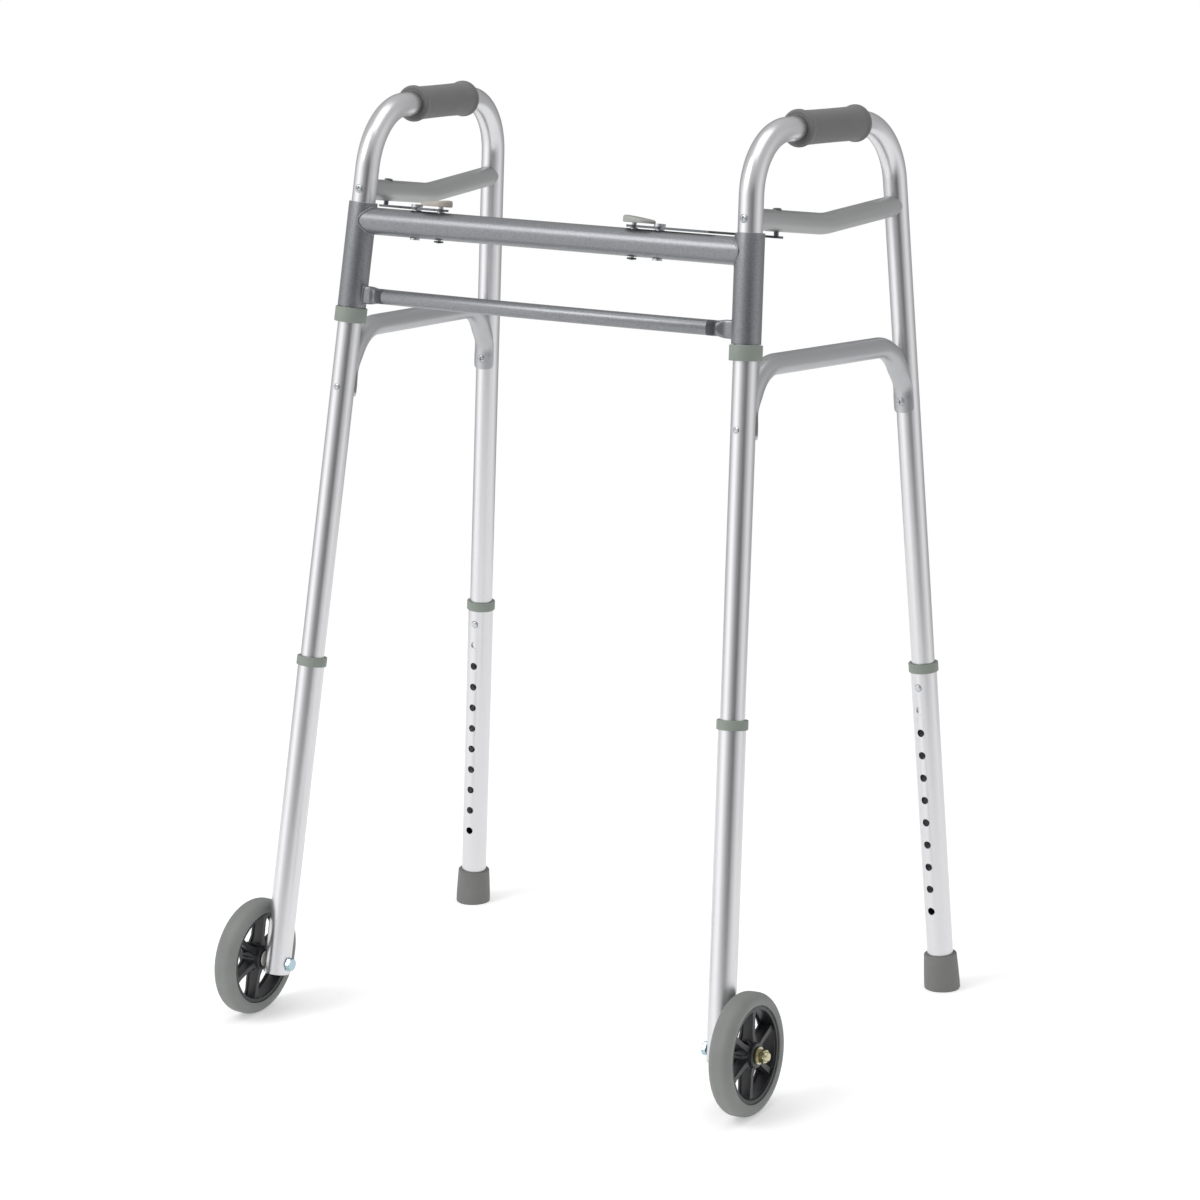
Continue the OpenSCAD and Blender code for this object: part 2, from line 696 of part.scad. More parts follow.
module rear_extension(s) {
    low = rear_low;
    color("#c2c5ca") rear_leg(s) difference() {
        translate([0, 0, low]) cylinder(r = ext_r, h = rear_button_h + ext_over - low);
        translate([0, 0, low - 1]) cylinder(r = ext_in_r, h = big * 2);
        for (i = [0 : hole_n - 1]) across(rear_button_h - i * hole_pitch, -ext_r - 1, 0, button_r + gap);
    }
}

module top_ring(top) {
    difference() {
        translate([0, 0, top + ring_over - ring_l]) cylinder(r = ring_d / 2, h = ring_l);
        translate([0, 0, top - ring_l]) cylinder(r = ext_r, h = ring_l);
        translate([0, 0, top - ring_l]) cylinder(r = tube_r + gap, h = 2 * ring_l);
    }
}

module front_ring(s) { color("#aab3ab") side(s) top_ring(front_button_h + ext_over); }
module rear_ring(s) { color("#aab3ab") rear_leg(s) top_ring(rear_button_h + ext_over); }

module rubber_tip(s) {
    foot = 9;
    under = 6;
    color("#5d5f60") difference() {
        rear_leg(s) difference() {
            union() {
                translate([0, 0, -under]) cylinder(r = tip_d / 2, h = foot + under);
                translate([0, 0, foot]) cylinder(r1 = tip_d / 2, r2 = tip_top_d / 2, h = foot);
                translate([0, 0, 2 * foot]) cylinder(r = tip_top_d / 2, h = tip_h - 2 * foot);
            }
            translate([0, 0, rear_low]) cylinder(r = ext_r, h = tip_h);
        }
        translate([-big * 2, -big * 2, -big]) cube([big * 4, big * 4, big]);
    }
}

// ---------- wheels: X outward along the axle ----------

module axle(s) { post(s) translate([0, 0, axle_h]) rotate([0, 90, 0]) children(); }
hub_half = wheel_w / 2 + 1;
hub_in = wheel_off - hub_half;
hub_out = wheel_off + hub_half;
bush_r = axle_r + 2;
washer_t = 1.4;
hex_r = 7.5;

module axle_bolt(s) {
    head_h = 5;
    thread = 8;
    color("#b9bcc0") axle(s) {
        translate([0, 0, -ext_r - head_h]) cylinder(r = hex_r, h = head_h, $fn = 6);
        translate([0, 0, -ext_r - head_h / 2]) cylinder(r = axle_r, h = ext_r + head_h / 2 + hub_out + gap + thread);
    }
}

module wheel_bush(s) {
    flange_over = 3;
    color("#d8d8d2") axle(s) difference() {
        union() {
            translate([0, 0, ext_r]) cylinder(r = bush_r, h = hub_out + gap - ext_r);
            translate([0, 0, ext_r]) cylinder(r = bush_r + flange_over, h = hub_in - gap - ext_r);
        }
        cylinder(r = axle_r, h = big);
    }
}

module axle_nut(s) {
    nut_h = 7;
    washer_over = 1.5;
    dome_h = 3;
    dome_foot = 1;
    dome_top = 4;
    thread = 8;
    color("#b9bcc0") axle(s) translate([0, 0, hub_out + gap]) difference() {
        union() {
            cylinder(r = hex_r + washer_over, h = washer_t);
            translate([0, 0, washer_t]) cylinder(r = hex_r, h = nut_h, $fn = 6);
            translate([0, 0, washer_t + nut_h]) cylinder(r1 = hex_r - dome_foot, r2 = hex_r - dome_top, h = dome_h);
        }
        translate([0, 0, -1]) cylinder(r = axle_r, h = thread + 1);
    }
}

module wheel_hub(s) {
    rim_out = wheel_r - tyre_t;
    rim_in = rim_out - rim_t;
    rim_step = 2.5;
    rim_w = wheel_w - 2 * rim_step;
    web_w = 14;
    color("#2c2d2e") axle(s) difference() {
        union() {
            translate([0, 0, wheel_off - rim_w / 2]) ring(rim_out, rim_in, rim_w);
            translate([0, 0, hub_in]) cylinder(r = hub_d / 2, h = 2 * hub_half);
            for (i = [0 : spoke_n - 1]) rotate([0, 0, i * 360 / spoke_n])
                translate([0, -spoke_t / 2, wheel_off - web_w / 2]) cube([rim_in + rim_t / 2, spoke_t, web_w]);
        }
        translate([0, 0, hub_in - 1]) cylinder(r = bush_r + run_fit, h = 2 * hub_half + 2);
    }
}

module tyre(s) {
    inner = wheel_r - tyre_t;
    color("#8b8f8c") axle(s) translate([0, 0, wheel_off]) rotate_extrude() difference() {
        union() {
            translate([inner, -wheel_w / 2]) square([tyre_t - tyre_round, wheel_w]);
            translate([inner, -wheel_w / 2 + tyre_round]) square([tyre_t, wheel_w - 2 * tyre_round]);
            for (z = [-1, 1]) translate([wheel_r - tyre_round, z * (wheel_w / 2 - tyre_round)]) circle(r = tyre_round);
        }
    }
}

// ---------- nodes ----------

module sleeve_left() { sleeve(-1); }
module sleeve_right() { sleeve(1); }
module bushes_left() { bushes(-1); }
module bushes_right() { bushes(1); }
module link_pivot_left() { link_pivot(-1); }
module link_pivot_right() { link_pivot(1); }
module side_tube_left() { side_tube(-1); }
module side_tube_right() { side_tube(1); }
module side_rail_left() { side_rail(-1); }
module side_rail_right() { side_rail(1); }
module lower_brace_left() { lower_brace(-1); }
module lower_brace_right() { lower_brace(1); }
module fasteners_left() { fasteners(-1); }
module fasteners_right() { fasteners(1); }
module link_stud_left() { link_stud(-1); }
module link_stud_right() { link_stud(1); }
module hand_grip_left() { hand_grip(-1); }
module hand_grip_right() { hand_grip(1); }
module sleeve_collar_left() { sleeve_collar(-1); }
module sleeve_collar_right() { sleeve_collar(1); }
module snap_clips_left() { snap_clips(-1); }
module snap_clips_right() { snap_clips(1); }
module lock_link_left() { lock_link(-1); }
module lock_link_right() { lock_link(1); }
module lock_pin_left() { lock_pin(-1); }
module lock_pin_right() { lock_pin(1); }
module release_paddle_left() { release_paddle(-1); }
module release_paddle_right() { release_paddle(1); }
module pin_clip_left() { pin_clip(-1); }
module pin_clip_right() { pin_clip(1); }
module lock_spring_left() { lock_spring(-1); }
module lock_spring_right() { lock_spring(1); }
module front_button_left() { front_button(-1); }
module front_button_right() { front_button(1); }
module rear_button_left() { rear_button(-1); }
module rear_button_right() { rear_button(1); }
module front_extension_left() { front_extension(-1); }
module front_extension_right() { front_extension(1); }
module rear_extension_left() { rear_extension(-1); }
module rear_extension_right() { rear_extension(1); }
module front_ring_left() { front_ring(-1); }
module front_ring_right() { front_ring(1); }
module rear_ring_left() { rear_ring(-1); }
module rear_ring_right() { rear_ring(1); }
module rubber_tip_left() { rubber_tip(-1); }
module rubber_tip_right() { rubber_tip(1); }
module axle_bolt_left() { axle_bolt(-1); }
module axle_bolt_right() { axle_bolt(1); }
module wheel_bush_left() { wheel_bush(-1); }
module wheel_bush_right() { wheel_bush(1); }
module axle_nut_left() { axle_nut(-1); }
module axle_nut_right() { axle_nut(1); }
module wheel_hub_left() { wheel_hub(-1); }
module wheel_hub_right() { wheel_hub(1); }
module tyre_left() { tyre(-1); }
module tyre_right() { tyre(1); }

upper_cross_tube();
lower_cross_tube();
sleeve_left();
sleeve_right();
bushes_left();
bushes_right();
link_pivot_left();
link_pivot_right();
side_tube_left();
side_tube_right();
side_rail_left();
side_rail_right();
lower_brace_left();
lower_brace_right();
fasteners_left();
fasteners_right();
link_stud_left();
link_stud_right();
hand_grip_left();
hand_grip_right();
sleeve_collar_left();
sleeve_collar_right();
snap_clips_left();
snap_clips_right();
lock_link_left();
lock_link_right();
lock_pin_left();
lock_pin_right();
release_paddle_left();
release_paddle_right();
pin_clip_left();
pin_clip_right();
lock_spring_left();
lock_spring_right();
front_button_left();
front_button_right();
rear_button_left();
rear_button_right();
front_extension_left();
front_extension_right();
rear_extension_left();
rear_extension_right();
front_ring_left();
front_ring_right();
rear_ring_left();
rear_ring_right();
rubber_tip_left();
rubber_tip_right();
axle_bolt_left();
axle_bolt_right();
wheel_bush_left();
wheel_bush_right();
axle_nut_left();
axle_nut_right();
wheel_hub_left();
wheel_hub_right();
tyre_left();
tyre_right();
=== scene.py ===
"""Folding walking frame: bent anodised tubes, a painted front frame, soft grips, wheels and rubber tips."""

import json
import math

import bmesh
import bpy
import numpy as np
from mathutils import Matrix, Vector


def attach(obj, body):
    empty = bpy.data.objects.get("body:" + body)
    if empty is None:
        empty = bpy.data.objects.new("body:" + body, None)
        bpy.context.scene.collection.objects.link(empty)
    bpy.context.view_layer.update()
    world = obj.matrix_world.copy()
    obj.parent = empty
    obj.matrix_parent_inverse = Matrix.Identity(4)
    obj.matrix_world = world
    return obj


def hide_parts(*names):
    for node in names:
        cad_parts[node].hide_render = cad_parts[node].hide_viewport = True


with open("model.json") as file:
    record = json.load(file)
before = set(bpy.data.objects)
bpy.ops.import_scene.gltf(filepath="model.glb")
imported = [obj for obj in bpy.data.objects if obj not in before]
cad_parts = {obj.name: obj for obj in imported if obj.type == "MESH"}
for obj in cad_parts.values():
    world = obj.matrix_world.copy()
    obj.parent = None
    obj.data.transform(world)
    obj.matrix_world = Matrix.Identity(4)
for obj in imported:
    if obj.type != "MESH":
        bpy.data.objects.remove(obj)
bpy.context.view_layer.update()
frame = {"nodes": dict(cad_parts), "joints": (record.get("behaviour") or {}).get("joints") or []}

# ---------------------------------------------------------------- stand and camera
# A pale paper table under the frame and a pale room round it. One long lens looks a little down at the frame,
# from in front of it and to one side.
mm = 0.001
view_azimuth = math.radians(31.07)
view_elevation = math.radians(13.88)
view_roll = math.radians(-0.43)
lens_mm = 116.9
sensor_mm = 36.0
camera_place = Vector((2.0943, -3.4489, 1.4529))
floor_r = 1.9
floor_sides = 96
paper_grain_mm = 12
paper_glow = 0.34


def linear(hex_colour):
    """sRGB hex to linear RGBA: ((c + 0.055) / 1.055) ** 2.4, or c / 12.92 near black."""
    parts = [int(hex_colour[i:i + 2], 16) / 255 for i in (1, 3, 5)]
    return tuple(c / 12.92 if c <= 0.04045 else ((c + 0.055) / 1.055) ** 2.4 for c in parts) + (1.0,)


def add(owner, kind, inputs=None, **settings):
    """Adds one shader node. Settings are its own properties; inputs are values, or sockets to link from."""
    node = owner.node_tree.nodes.new(kind)
    for key, value in settings.items():
        setattr(node, key, value)
    for key, value in (inputs or {}).items():
        if isinstance(value, bpy.types.NodeSocket):
            owner.node_tree.links.new(value, node.inputs[key])
        else:
            node.inputs[key].default_value = value
    return node


def new_material(name):
    """An empty node material."""
    material = bpy.data.materials.new(name)
    material.use_nodes = True
    material.node_tree.nodes.clear()
    return material


def turns(steps):
    """Angles evenly round a circle: 2 pi * i / steps."""
    return np.arange(steps) * 2 * math.pi / steps


# matt background paper: white and without gloss, with a weak glow that keeps the shadows pale
paper = new_material("matt_white_background_paper")
paper_grain = add(paper, "ShaderNodeTexNoise", {"Scale": 1 / (paper_grain_mm * mm), "Detail": 3.0})
paper_bump = add(paper, "ShaderNodeBump", {"Height": paper_grain.outputs["Fac"], "Distance": 0.05 * mm})
paper_shader = add(paper, "ShaderNodeBsdfPrincipled", {
    "Base Color": linear("#ececec"), "Roughness": 0.9, "Normal": paper_bump.outputs["Normal"],
    "Emission Color": linear("#ffffff"), "Emission Strength": paper_glow})
add(paper, "ShaderNodeOutputMaterial", {"Surface": paper_shader.outputs["BSDF"]})

floor_turns = turns(floor_sides)
floor_rim = np.stack([floor_r * np.cos(floor_turns), floor_r * np.sin(floor_turns), 0 * floor_turns], 1)
floor_mesh = bpy.data.meshes.new("floor")
floor_mesh.from_pydata(floor_rim.tolist(), [], [tuple(range(floor_sides))])
floor_mesh.materials.append(paper)
floor = bpy.data.objects.new("floor", floor_mesh)
bpy.context.scene.collection.objects.link(floor)

lens = bpy.data.cameras.new("lens")
lens.sensor_width = sensor_mm
lens.lens = lens_mm
camera = bpy.data.objects.new("camera", lens)
back = Vector((math.sin(view_azimuth) * math.cos(view_elevation),
               -math.cos(view_azimuth) * math.cos(view_elevation), math.sin(view_elevation)))
right = Vector((math.cos(view_azimuth), math.sin(view_azimuth), 0))
up = back.cross(right)
turned_right = right * math.cos(view_roll) + up * math.sin(view_roll)
turned_up = up * math.cos(view_roll) - right * math.sin(view_roll)
camera.matrix_world = Matrix((
    (turned_right.x, turned_up.x, back.x, camera_place.x),
    (turned_right.y, turned_up.y, back.y, camera_place.y),
    (turned_right.z, turned_up.z, back.z, camera_place.z),
    (0, 0, 0, 1)))
bpy.context.scene.collection.objects.link(camera)
bpy.context.scene.camera = camera

# Soft studio light: a grey ceiling, and walls that are bright on both sides of the camera and dark behind it,
# so that every tube shows two soft highlights with a darker line between them. Past the table all is white.
ceiling_level = 0.62
# the sines of the elevations between which the walls ease into the ceiling
walls_top, ceiling_low = 0.12, 0.6
aim = Vector((0, 0, 0.5))


def room_light(world, walls):
    """Brightness by azimuth round the room, easing to the ceiling's above; seen directly it is white."""
    around = add(world, "ShaderNodeTexCoord").outputs["Generated"]
    turn = add(world, "ShaderNodeMapping", {"Vector": around, "Rotation": (0, 0, math.pi / 2 - view_azimuth)})
    sweep = add(world, "ShaderNodeTexGradient", {"Vector": turn.outputs["Vector"]}, gradient_type="RADIAL")
    ramp = add(world, "ShaderNodeValToRGB", {"Fac": sweep.outputs["Fac"]})
    ramp.color_ramp.interpolation = "EASE"
    while len(ramp.color_ramp.elements) < len(walls):
        ramp.color_ramp.elements.new(0.5)
    for element, (degrees, level) in zip(ramp.color_ramp.elements, walls):
        element.position = 0.5 + degrees / 360
        element.color = (level, level, level * 1.01, 1)
    apart = add(world, "ShaderNodeSeparateXYZ", {"Vector": around})
    height = add(world, "ShaderNodeMapRange", {"Value": apart.outputs["Z"], "From Min": walls_top,
                                              "From Max": ceiling_low}, interpolation_type="SMOOTHSTEP")
    lit = add(world, "ShaderNodeMix", {0: height.outputs["Result"], 6: ramp.outputs["Color"],
                                       7: (ceiling_level, ceiling_level, ceiling_level, 1)}, data_type="RGBA")
    path = add(world, "ShaderNodeLightPath")
    seen = add(world, "ShaderNodeMix", {0: path.outputs["Is Camera Ray"], 6: lit.outputs[2], 7: (1, 1, 1, 1)},
               data_type="RGBA")
    world.node_tree.links.new(seen.outputs[2], world.node_tree.nodes["Background"].inputs["Color"])


def soft_box(name, azimuth, elevation, distance, size, watts):
    """A square lamp that faces the middle of the frame, placed by two angles in degrees and a distance."""
    lamp = bpy.data.lights.new(name, "AREA")
    lamp.size = size
    lamp.energy = watts
    a, e = math.radians(azimuth), math.radians(elevation)
    away = Vector((math.sin(a) * math.cos(e), -math.cos(a) * math.cos(e), math.sin(e)))
    holder = bpy.data.objects.new(name, lamp)
    holder.location = aim + away * distance
    holder.rotation_euler = away.to_track_quat("Z", "Y").to_euler()
    bpy.context.scene.collection.objects.link(holder)


room = bpy.data.worlds.new("white_room")
room.use_nodes = True
# azimuth from the camera in degrees, negative to its left, and the wall's brightness there
room_light(room, [(-180, 0.16), (-135, 0.6), (-70, 1.5), (-38, 0.75), (-16, 0.3), (14, 0.06), (36, 0.55),
                  (72, 1.05), (125, 0.5), (180, 0.16)])
bpy.context.scene.world = room
bpy.context.scene.view_settings.view_transform = "Standard"
soft_box("key_box", azimuth=-30, elevation=42, distance=3.6, size=1.6, watts=40)
soft_box("top_sheet", azimuth=10, elevation=85, distance=3.2, size=2.6, watts=26)

# ---------------------------------------------------------------- side tubes
# Each side frame is one length of aluminium tube: upright, hand bar and rear leg, bent round a 70 mm former.
# It is bead blasted and clear anodised, so it is satin with a very fine grain.
SIDES = {"left": -1, "right": 1}
joints = {joint["name"]: joint for joint in frame["joints"]}
tube_r = 12.7 * mm
tube_wall = 1.5 * mm
bend_r = 70 * mm
side_depth = 447 * mm
corner_h = 988 * mm
hand_rise = math.radians(5.9)
sleeve_low, sleeve_top = 777 * mm, 888 * mm
button_h = {"front": 374 * mm, "rear": 346 * mm}
hole_pitch = 25.4 * mm
round_steps = 64


class Axes:
    """An origin and three directions, which carry a piece's own coordinates into the shared frame."""

    def __init__(self, origin, x, y, z):
        self.origin, self.x, self.y, self.z = (np.array(v, float) for v in (origin, x, y, z))

    def at(self, x=0.0, y=0.0, z=0.0):
        """The point or points that lie x, y and z along the three directions."""
        x, y, z = (np.asarray(v, float)[..., None] for v in (x, y, z))
        return self.origin + x * self.x + y * self.y + z * self.z

    def moved(self, x=0.0, y=0.0, z=0.0):
        """The same directions from another origin."""
        return Axes(self.at(x, y, z), self.x, self.y, self.z)

    def turned(self, x, y, z):
        """The same origin with each new direction given along the old three."""
        to = np.stack([self.x, self.y, self.z])
        return Axes(self.origin, np.array(x) @ to, np.array(y) @ to, np.array(z) @ to)


def side_axes(side):
    """X outward, Y along the side frame to the rear and Z up the upright, from the floor."""
    s = SIDES[side]
    z = s * np.array(joints["fold_" + side]["axis"])
    y = -np.array(joints["front_button_press_" + side]["axis"])
    middle = np.array(joints["fold_" + side]["pos_m"])
    return Axes(middle - z * (sleeve_low + sleeve_top) / 2, s * np.cross(y, z), y, z)


def rear_axes(side):
    """X outward, Y to the rear and Z up the rear leg, from where its axis meets the floor."""
    a = side_axes(side)
    foot = a.at(0, side_depth, -side_depth * a.y[2] / a.z[2])
    z = np.array(joints["rear_height_" + side]["axis"])
    y = np.array(joints["rear_button_press_" + side]["axis"])
    return Axes(foot, a.x, y, z)


side = {name: side_axes(name) for name in SIDES}
rear = {name: rear_axes(name) for name in SIDES}


def unit(v):
    """Vectors of length one."""
    return v / np.linalg.norm(v, axis=-1, keepdims=True)


def sloping(angle):
    """The direction in a side frame that goes to the rear and rises by an angle, as (to the rear, up)."""
    return np.array([math.cos(angle), math.sin(angle)])


def rear_line(name):
    """The rear leg's axis in its side frame: the point where it meets the floor, and its direction."""
    flat = np.stack([side[name].y, side[name].z], 1)
    return (rear[name].origin - side[name].origin) @ flat, rear[name].z @ flat


def meet(name, point, way):
    """Where a line meets the rear leg's axis: how far along the line, and how far up the leg."""
    foot, lean = rear_line(name)
    return np.linalg.solve(np.stack([way, -lean], 1), foot - point)


def round_path(corners, radius, steps):
    """A flat path through corners, each inner one rounded; the arc starts radius * tan(turn / 2) away."""
    path = [corners[0]]
    for before, corner, after in zip(corners, corners[1:], corners[2:]):
        d, e = unit(corner - before), unit(after - corner)
        turn = math.acos(np.clip(d @ e, -1, 1))
        start = corner - d * radius * math.tan(turn / 2)
        normal = unit(e - d * (d @ e))
        a = np.linspace(0, turn, steps)[:, None]
        path.extend(start + radius * (np.sin(a) * d + (1 - np.cos(a)) * normal))
    path.append(corners[-1])
    return np.array(path)


def rings(path, across, radius, steps=round_steps):
    """Circles square to a flat path: centre + radius * (cos t * across + sin t * (across x tangent))."""
    legs = unit(np.diff(path, axis=0))
    tangent = unit(np.vstack([legs[:1], legs[:-1] + legs[1:], legs[-1:]]))
    beside = np.cross(across, tangent)
    t = turns(steps)
    circle = np.cos(t)[None, :, None] * across + np.sin(t)[None, :, None] * beside[:, None, :]
    return path[:, None, :] + radius * circle


def capped(grid):
    """Closes both ends of a tube of rings to their middle points."""
    ends = [np.broadcast_to(grid[i].mean(0), grid[i].shape)[None] for i in (0, -1)]
    return np.concatenate([ends[0], grid, ends[1]])


def quads(rows, columns, start=0):
    """Corner numbers of the cells of a grid whose columns close round."""
    i = np.arange(rows - 1)[:, None]
    j = np.arange(columns)[None, :]
    k = (j + 1) % columns
    cells = [start + np.broadcast_to(a * columns + b, (i.size, j.size))
             for a, b in ((i, j), (i, k), (i + 1, k), (i + 1, j))]
    return np.stack(cells, -1).reshape(-1, 4)


def piece(name, grids, material, body, node, sharp=38, cells=None):
    """One mesh from grids of points (rows, columns, xyz) whose columns close round, and from loose cells.

    Points that no face uses are left out, doubles are merged and faces turned outward. Edges over the sharp
    angle stay sharp. The piece rides on a body and stands for a node, which it hides."""
    points, corners = ([], []) if cells is None else ([cells[0]], [cells[1]])
    count = sum(len(p) for p in points)
    for grid in grids:
        corners.append(quads(grid.shape[0], grid.shape[1], count))
        points.append(grid.reshape(-1, 3))
        count += len(points[-1])
    used, corners = np.unique(np.concatenate(corners), return_inverse=True)
    mesh = bpy.data.meshes.new(name)
    mesh.from_pydata(np.concatenate(points)[used].tolist(), [], corners.reshape(-1, 4).tolist())
    work = bmesh.new()
    work.from_mesh(mesh)
    bmesh.ops.remove_doubles(work, verts=work.verts, dist=0.001 * mm)
    bmesh.ops.recalc_face_normals(work, faces=work.faces)
    work.to_mesh(mesh)
    work.free()
    mesh.shade_smooth()
    mesh.set_sharp_from_angle(angle=math.radians(sharp))
    mesh.materials.append(material)
    obj = bpy.data.objects.new(name, mesh)
    bpy.context.scene.collection.objects.link(obj)
    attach(obj, body)
    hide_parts(node)


def shaded(colour, factor):
    """A linear colour with each channel times a factor, at most 1."""
    return tuple(min(1.0, c * factor) for c in linear(colour)[:3]) + (1.0,)


def satin_metal(name, colour, roughness, grain_mm, depth_mm, streak=0.05):
    """Blasted and anodised aluminium: metallic, a fine grain in the bump, slow clouds in colour and gloss."""
    m = new_material(name)
    where = add(m, "ShaderNodeTexCoord").outputs["Object"]
    grain = add(m, "ShaderNodeTexNoise", {"Vector": where, "Scale": 1 / (grain_mm * mm), "Detail": 2.0})
    cloud = add(m, "ShaderNodeTexNoise", {"Vector": where, "Scale": 1 / (90 * mm), "Detail": 4.0})
    tint = add(m, "ShaderNodeMix", {0: cloud.outputs["Fac"], 6: shaded(colour, 1 - streak),
                                    7: linear(colour)}, data_type="RGBA")
    gloss = add(m, "ShaderNodeMapRange", {"Value": grain.outputs["Fac"], "To Min": roughness - 0.04,
                                         "To Max": roughness + 0.05})
    bump = add(m, "ShaderNodeBump", {"Height": grain.outputs["Fac"], "Distance": depth_mm * mm,
                                     "Strength": 0.6})
    shader = add(m, "ShaderNodeBsdfPrincipled", {
        "Base Color": tint.outputs[2], "Metallic": 1.0, "Roughness": gloss.outputs["Result"],
        "Normal": bump.outputs["Normal"]})
    add(m, "ShaderNodeOutputMaterial", {"Surface": shader.outputs["BSDF"]})
    return m


# clear anodised tube: bright silver with soft reflections; its grain is drawn at 0.6 mm so that it shows
clear_anodised = satin_metal("clear_anodised_aluminium", "#dadadc", 0.3, 0.6, 0.02)
# the inner tube ends one and a half hole pitches below its button
legs_end = {which: height - 1.5 * hole_pitch for which, height in button_h.items()}


def side_path(name):
    """The tube's centre line in a side frame, as (to the rear, up): upright, hand bar, rear leg."""
    foot, lean = rear_line(name)
    front_corner = np.array([0.0, corner_h])
    rear_corner = front_corner + sloping(hand_rise) * meet(name, front_corner, sloping(hand_rise))[0]
    return [np.array([0.0, legs_end["front"]]), front_corner, rear_corner, foot + lean * legs_end["rear"]]


def flat_to_side(name, path):
    """Points given as (to the rear, up) in a side frame, in the shared frame."""
    return side[name].at(0, path[:, 0], path[:, 1])


for name in SIDES:
    line = flat_to_side(name, round_path(side_path(name), bend_r, 30))
    skin = rings(line, side[name].x, tube_r)
    bore = rings(line, side[name].x, tube_r - tube_wall)
    # out along the skin, back along the bore and round to the first ring again
    wall = np.concatenate([skin, bore[::-1], skin[:1]])
    piece("bent_side_tube_" + name, [wall], clear_anodised, "side_" + name, "side_tube_" + name)

# ---------------------------------------------------------------- side rails
# A darker matt tube from the upright to the rear leg, bent up a little. Both ends are coped, so they fit
# round the tube that they meet, and a screw from outside pulls each one up tight.
rail_r = 11.1 * mm
rail_h = 902 * mm
rail_turn = 137 * mm
rail_rise = math.radians(9.9)
rail_bend_r = 120 * mm
rail_start, rail_short = 20 * mm, 22 * mm
cope_gap = 0.1 * mm
# grey anodised tube: a darker, flatter silver than the legs, with a grain about 0.7 mm across
grey_anodised = satin_metal("grey_anodised_aluminium", "#b2b3b3", 0.5, 0.7, 0.03, 0.08)


def cope(ring, way, post, radius):
    """Slides a ring's points along way to a post: the near root of |part square to the post| = radius."""
    way = unit(np.array(way))
    d = ring - post.origin
    d = d - (d @ post.z)[:, None] * post.z
    w = way - (way @ post.z) * post.z
    a, b, c = w @ w, d @ w, (d * d).sum(1) - radius ** 2
    t = (-b - np.sqrt(np.maximum(b * b - a * c, 0))) / a
    return ring + t[:, None] * way


def coped_tube(path, across, radius, posts, post_r, steps=round_steps):
    """A tube whose two end rings are slid on until they meet the posts there."""
    grid = rings(path, across, radius, steps)
    grid[0] = cope(grid[0], path[0] - path[1], posts[0], post_r)
    grid[-1] = cope(grid[-1], path[-1] - path[-2], posts[1], post_r)
    return grid


for name in SIDES:
    start, bend = np.array([rail_start, rail_h]), np.array([rail_turn, rail_h])
    reach = meet(name, bend, sloping(rail_rise))[0] - rail_short
    corners = [start, bend, bend + sloping(rail_rise) * reach]
    line = flat_to_side(name, round_path(corners, rail_bend_r, 14))
    grid = coped_tube(line, side[name].x, rail_r, (side[name], rear[name]), tube_r + cope_gap)
    piece("side_rail_tube_" + name, [capped(grid)], grey_anodised, "side_" + name, "side_rail_" + name)

# ---------------------------------------------------------------- lower braces
# The brace is a tube bent down at both ends. Each end is pressed flat into a saddle that wraps the upright or
# the rear leg, and one screw or rivet goes through it.
brace_h = 753 * mm
brace_rise = math.radians(5.2)
brace_bend_r = 48 * mm
brace_fall = 58 * mm
brace_sink = 2 * mm
brace_out_f, brace_out_r = 2 * mm, 5 * mm
saddle_past_f, saddle_past_r = 16 * mm, 14 * mm
saddle_t = 2.4 * mm
saddle_half = math.radians(55)
corner_round = 6 * mm
# the circle becomes a crescent over this share of the pressed end
press_rows, press_share = 40, 0.72
# silver anodised tube: between the legs and the rail in tone and in gloss
silver_anodised = satin_metal("silver_anodised_aluminium", "#b7b8ba", 0.4, 0.6, 0.025, 0.07)


def smooth(share):
    """Eases from 0 to 1 over a share of 0 to 1: s * s * (3 - 2 s)."""
    s = np.clip(share, 0, 1)
    return s * s * (3 - 2 * s)


def brace_ends(name):
    """How far up the upright and how far up the rear leg the brace's two bent ends reach."""
    front_x = tube_r + rail_r + brace_out_f
    front_low = brace_h + front_x * math.tan(brace_rise) - brace_fall
    return front_low, meet(name, np.array([0.0, brace_h]), sloping(brace_rise))[1] - brace_fall


def saddle_end(start, way, post, across, length, low, face):
    """Rings that change from the brace's circle to a crescent round a post, then run straight down it.

    Each ring is (1 - m) * circle + m * crescent, where m eases from 0 to 1 down the pressed share. The last
    rings narrow as sqrt(1 - k * k), so the two bottom corners are round."""
    t = turns(round_steps)
    reach = np.linspace(0, 1, press_rows)
    m = smooth(reach / press_share)[:, None, None]
    centre = start + np.minimum(reach, press_share)[:, None] / press_share * length * way
    beside = np.cross(across, way)
    circle = rail_r * (np.cos(t)[None, :, None] * across + np.sin(t)[None, :, None] * beside)
    outer = np.sin(t) * np.sign(beside @ (face * post.y)) > -1e-6
    top = (start - post.origin) @ post.z
    height = top + (low - top) * reach
    k = np.clip((corner_round - (height - low)) / corner_round, 0, 1)
    narrow = 1 - (1 - np.sqrt(np.maximum(1 - k * k, 0))) * corner_round / (tube_r * saddle_half)
    swing = saddle_half * narrow[:, None] * np.cos(t)[None]
    radius = np.where(outer, tube_r + saddle_t, tube_r + cope_gap)[None]
    crescent = post.at(np.sign(across @ post.x) * radius * np.sin(swing), face * radius * np.cos(swing),
                       np.broadcast_to(height[:, None], swing.shape))
    return (1 - m) * (centre[:, None, :] + circle) + m * crescent


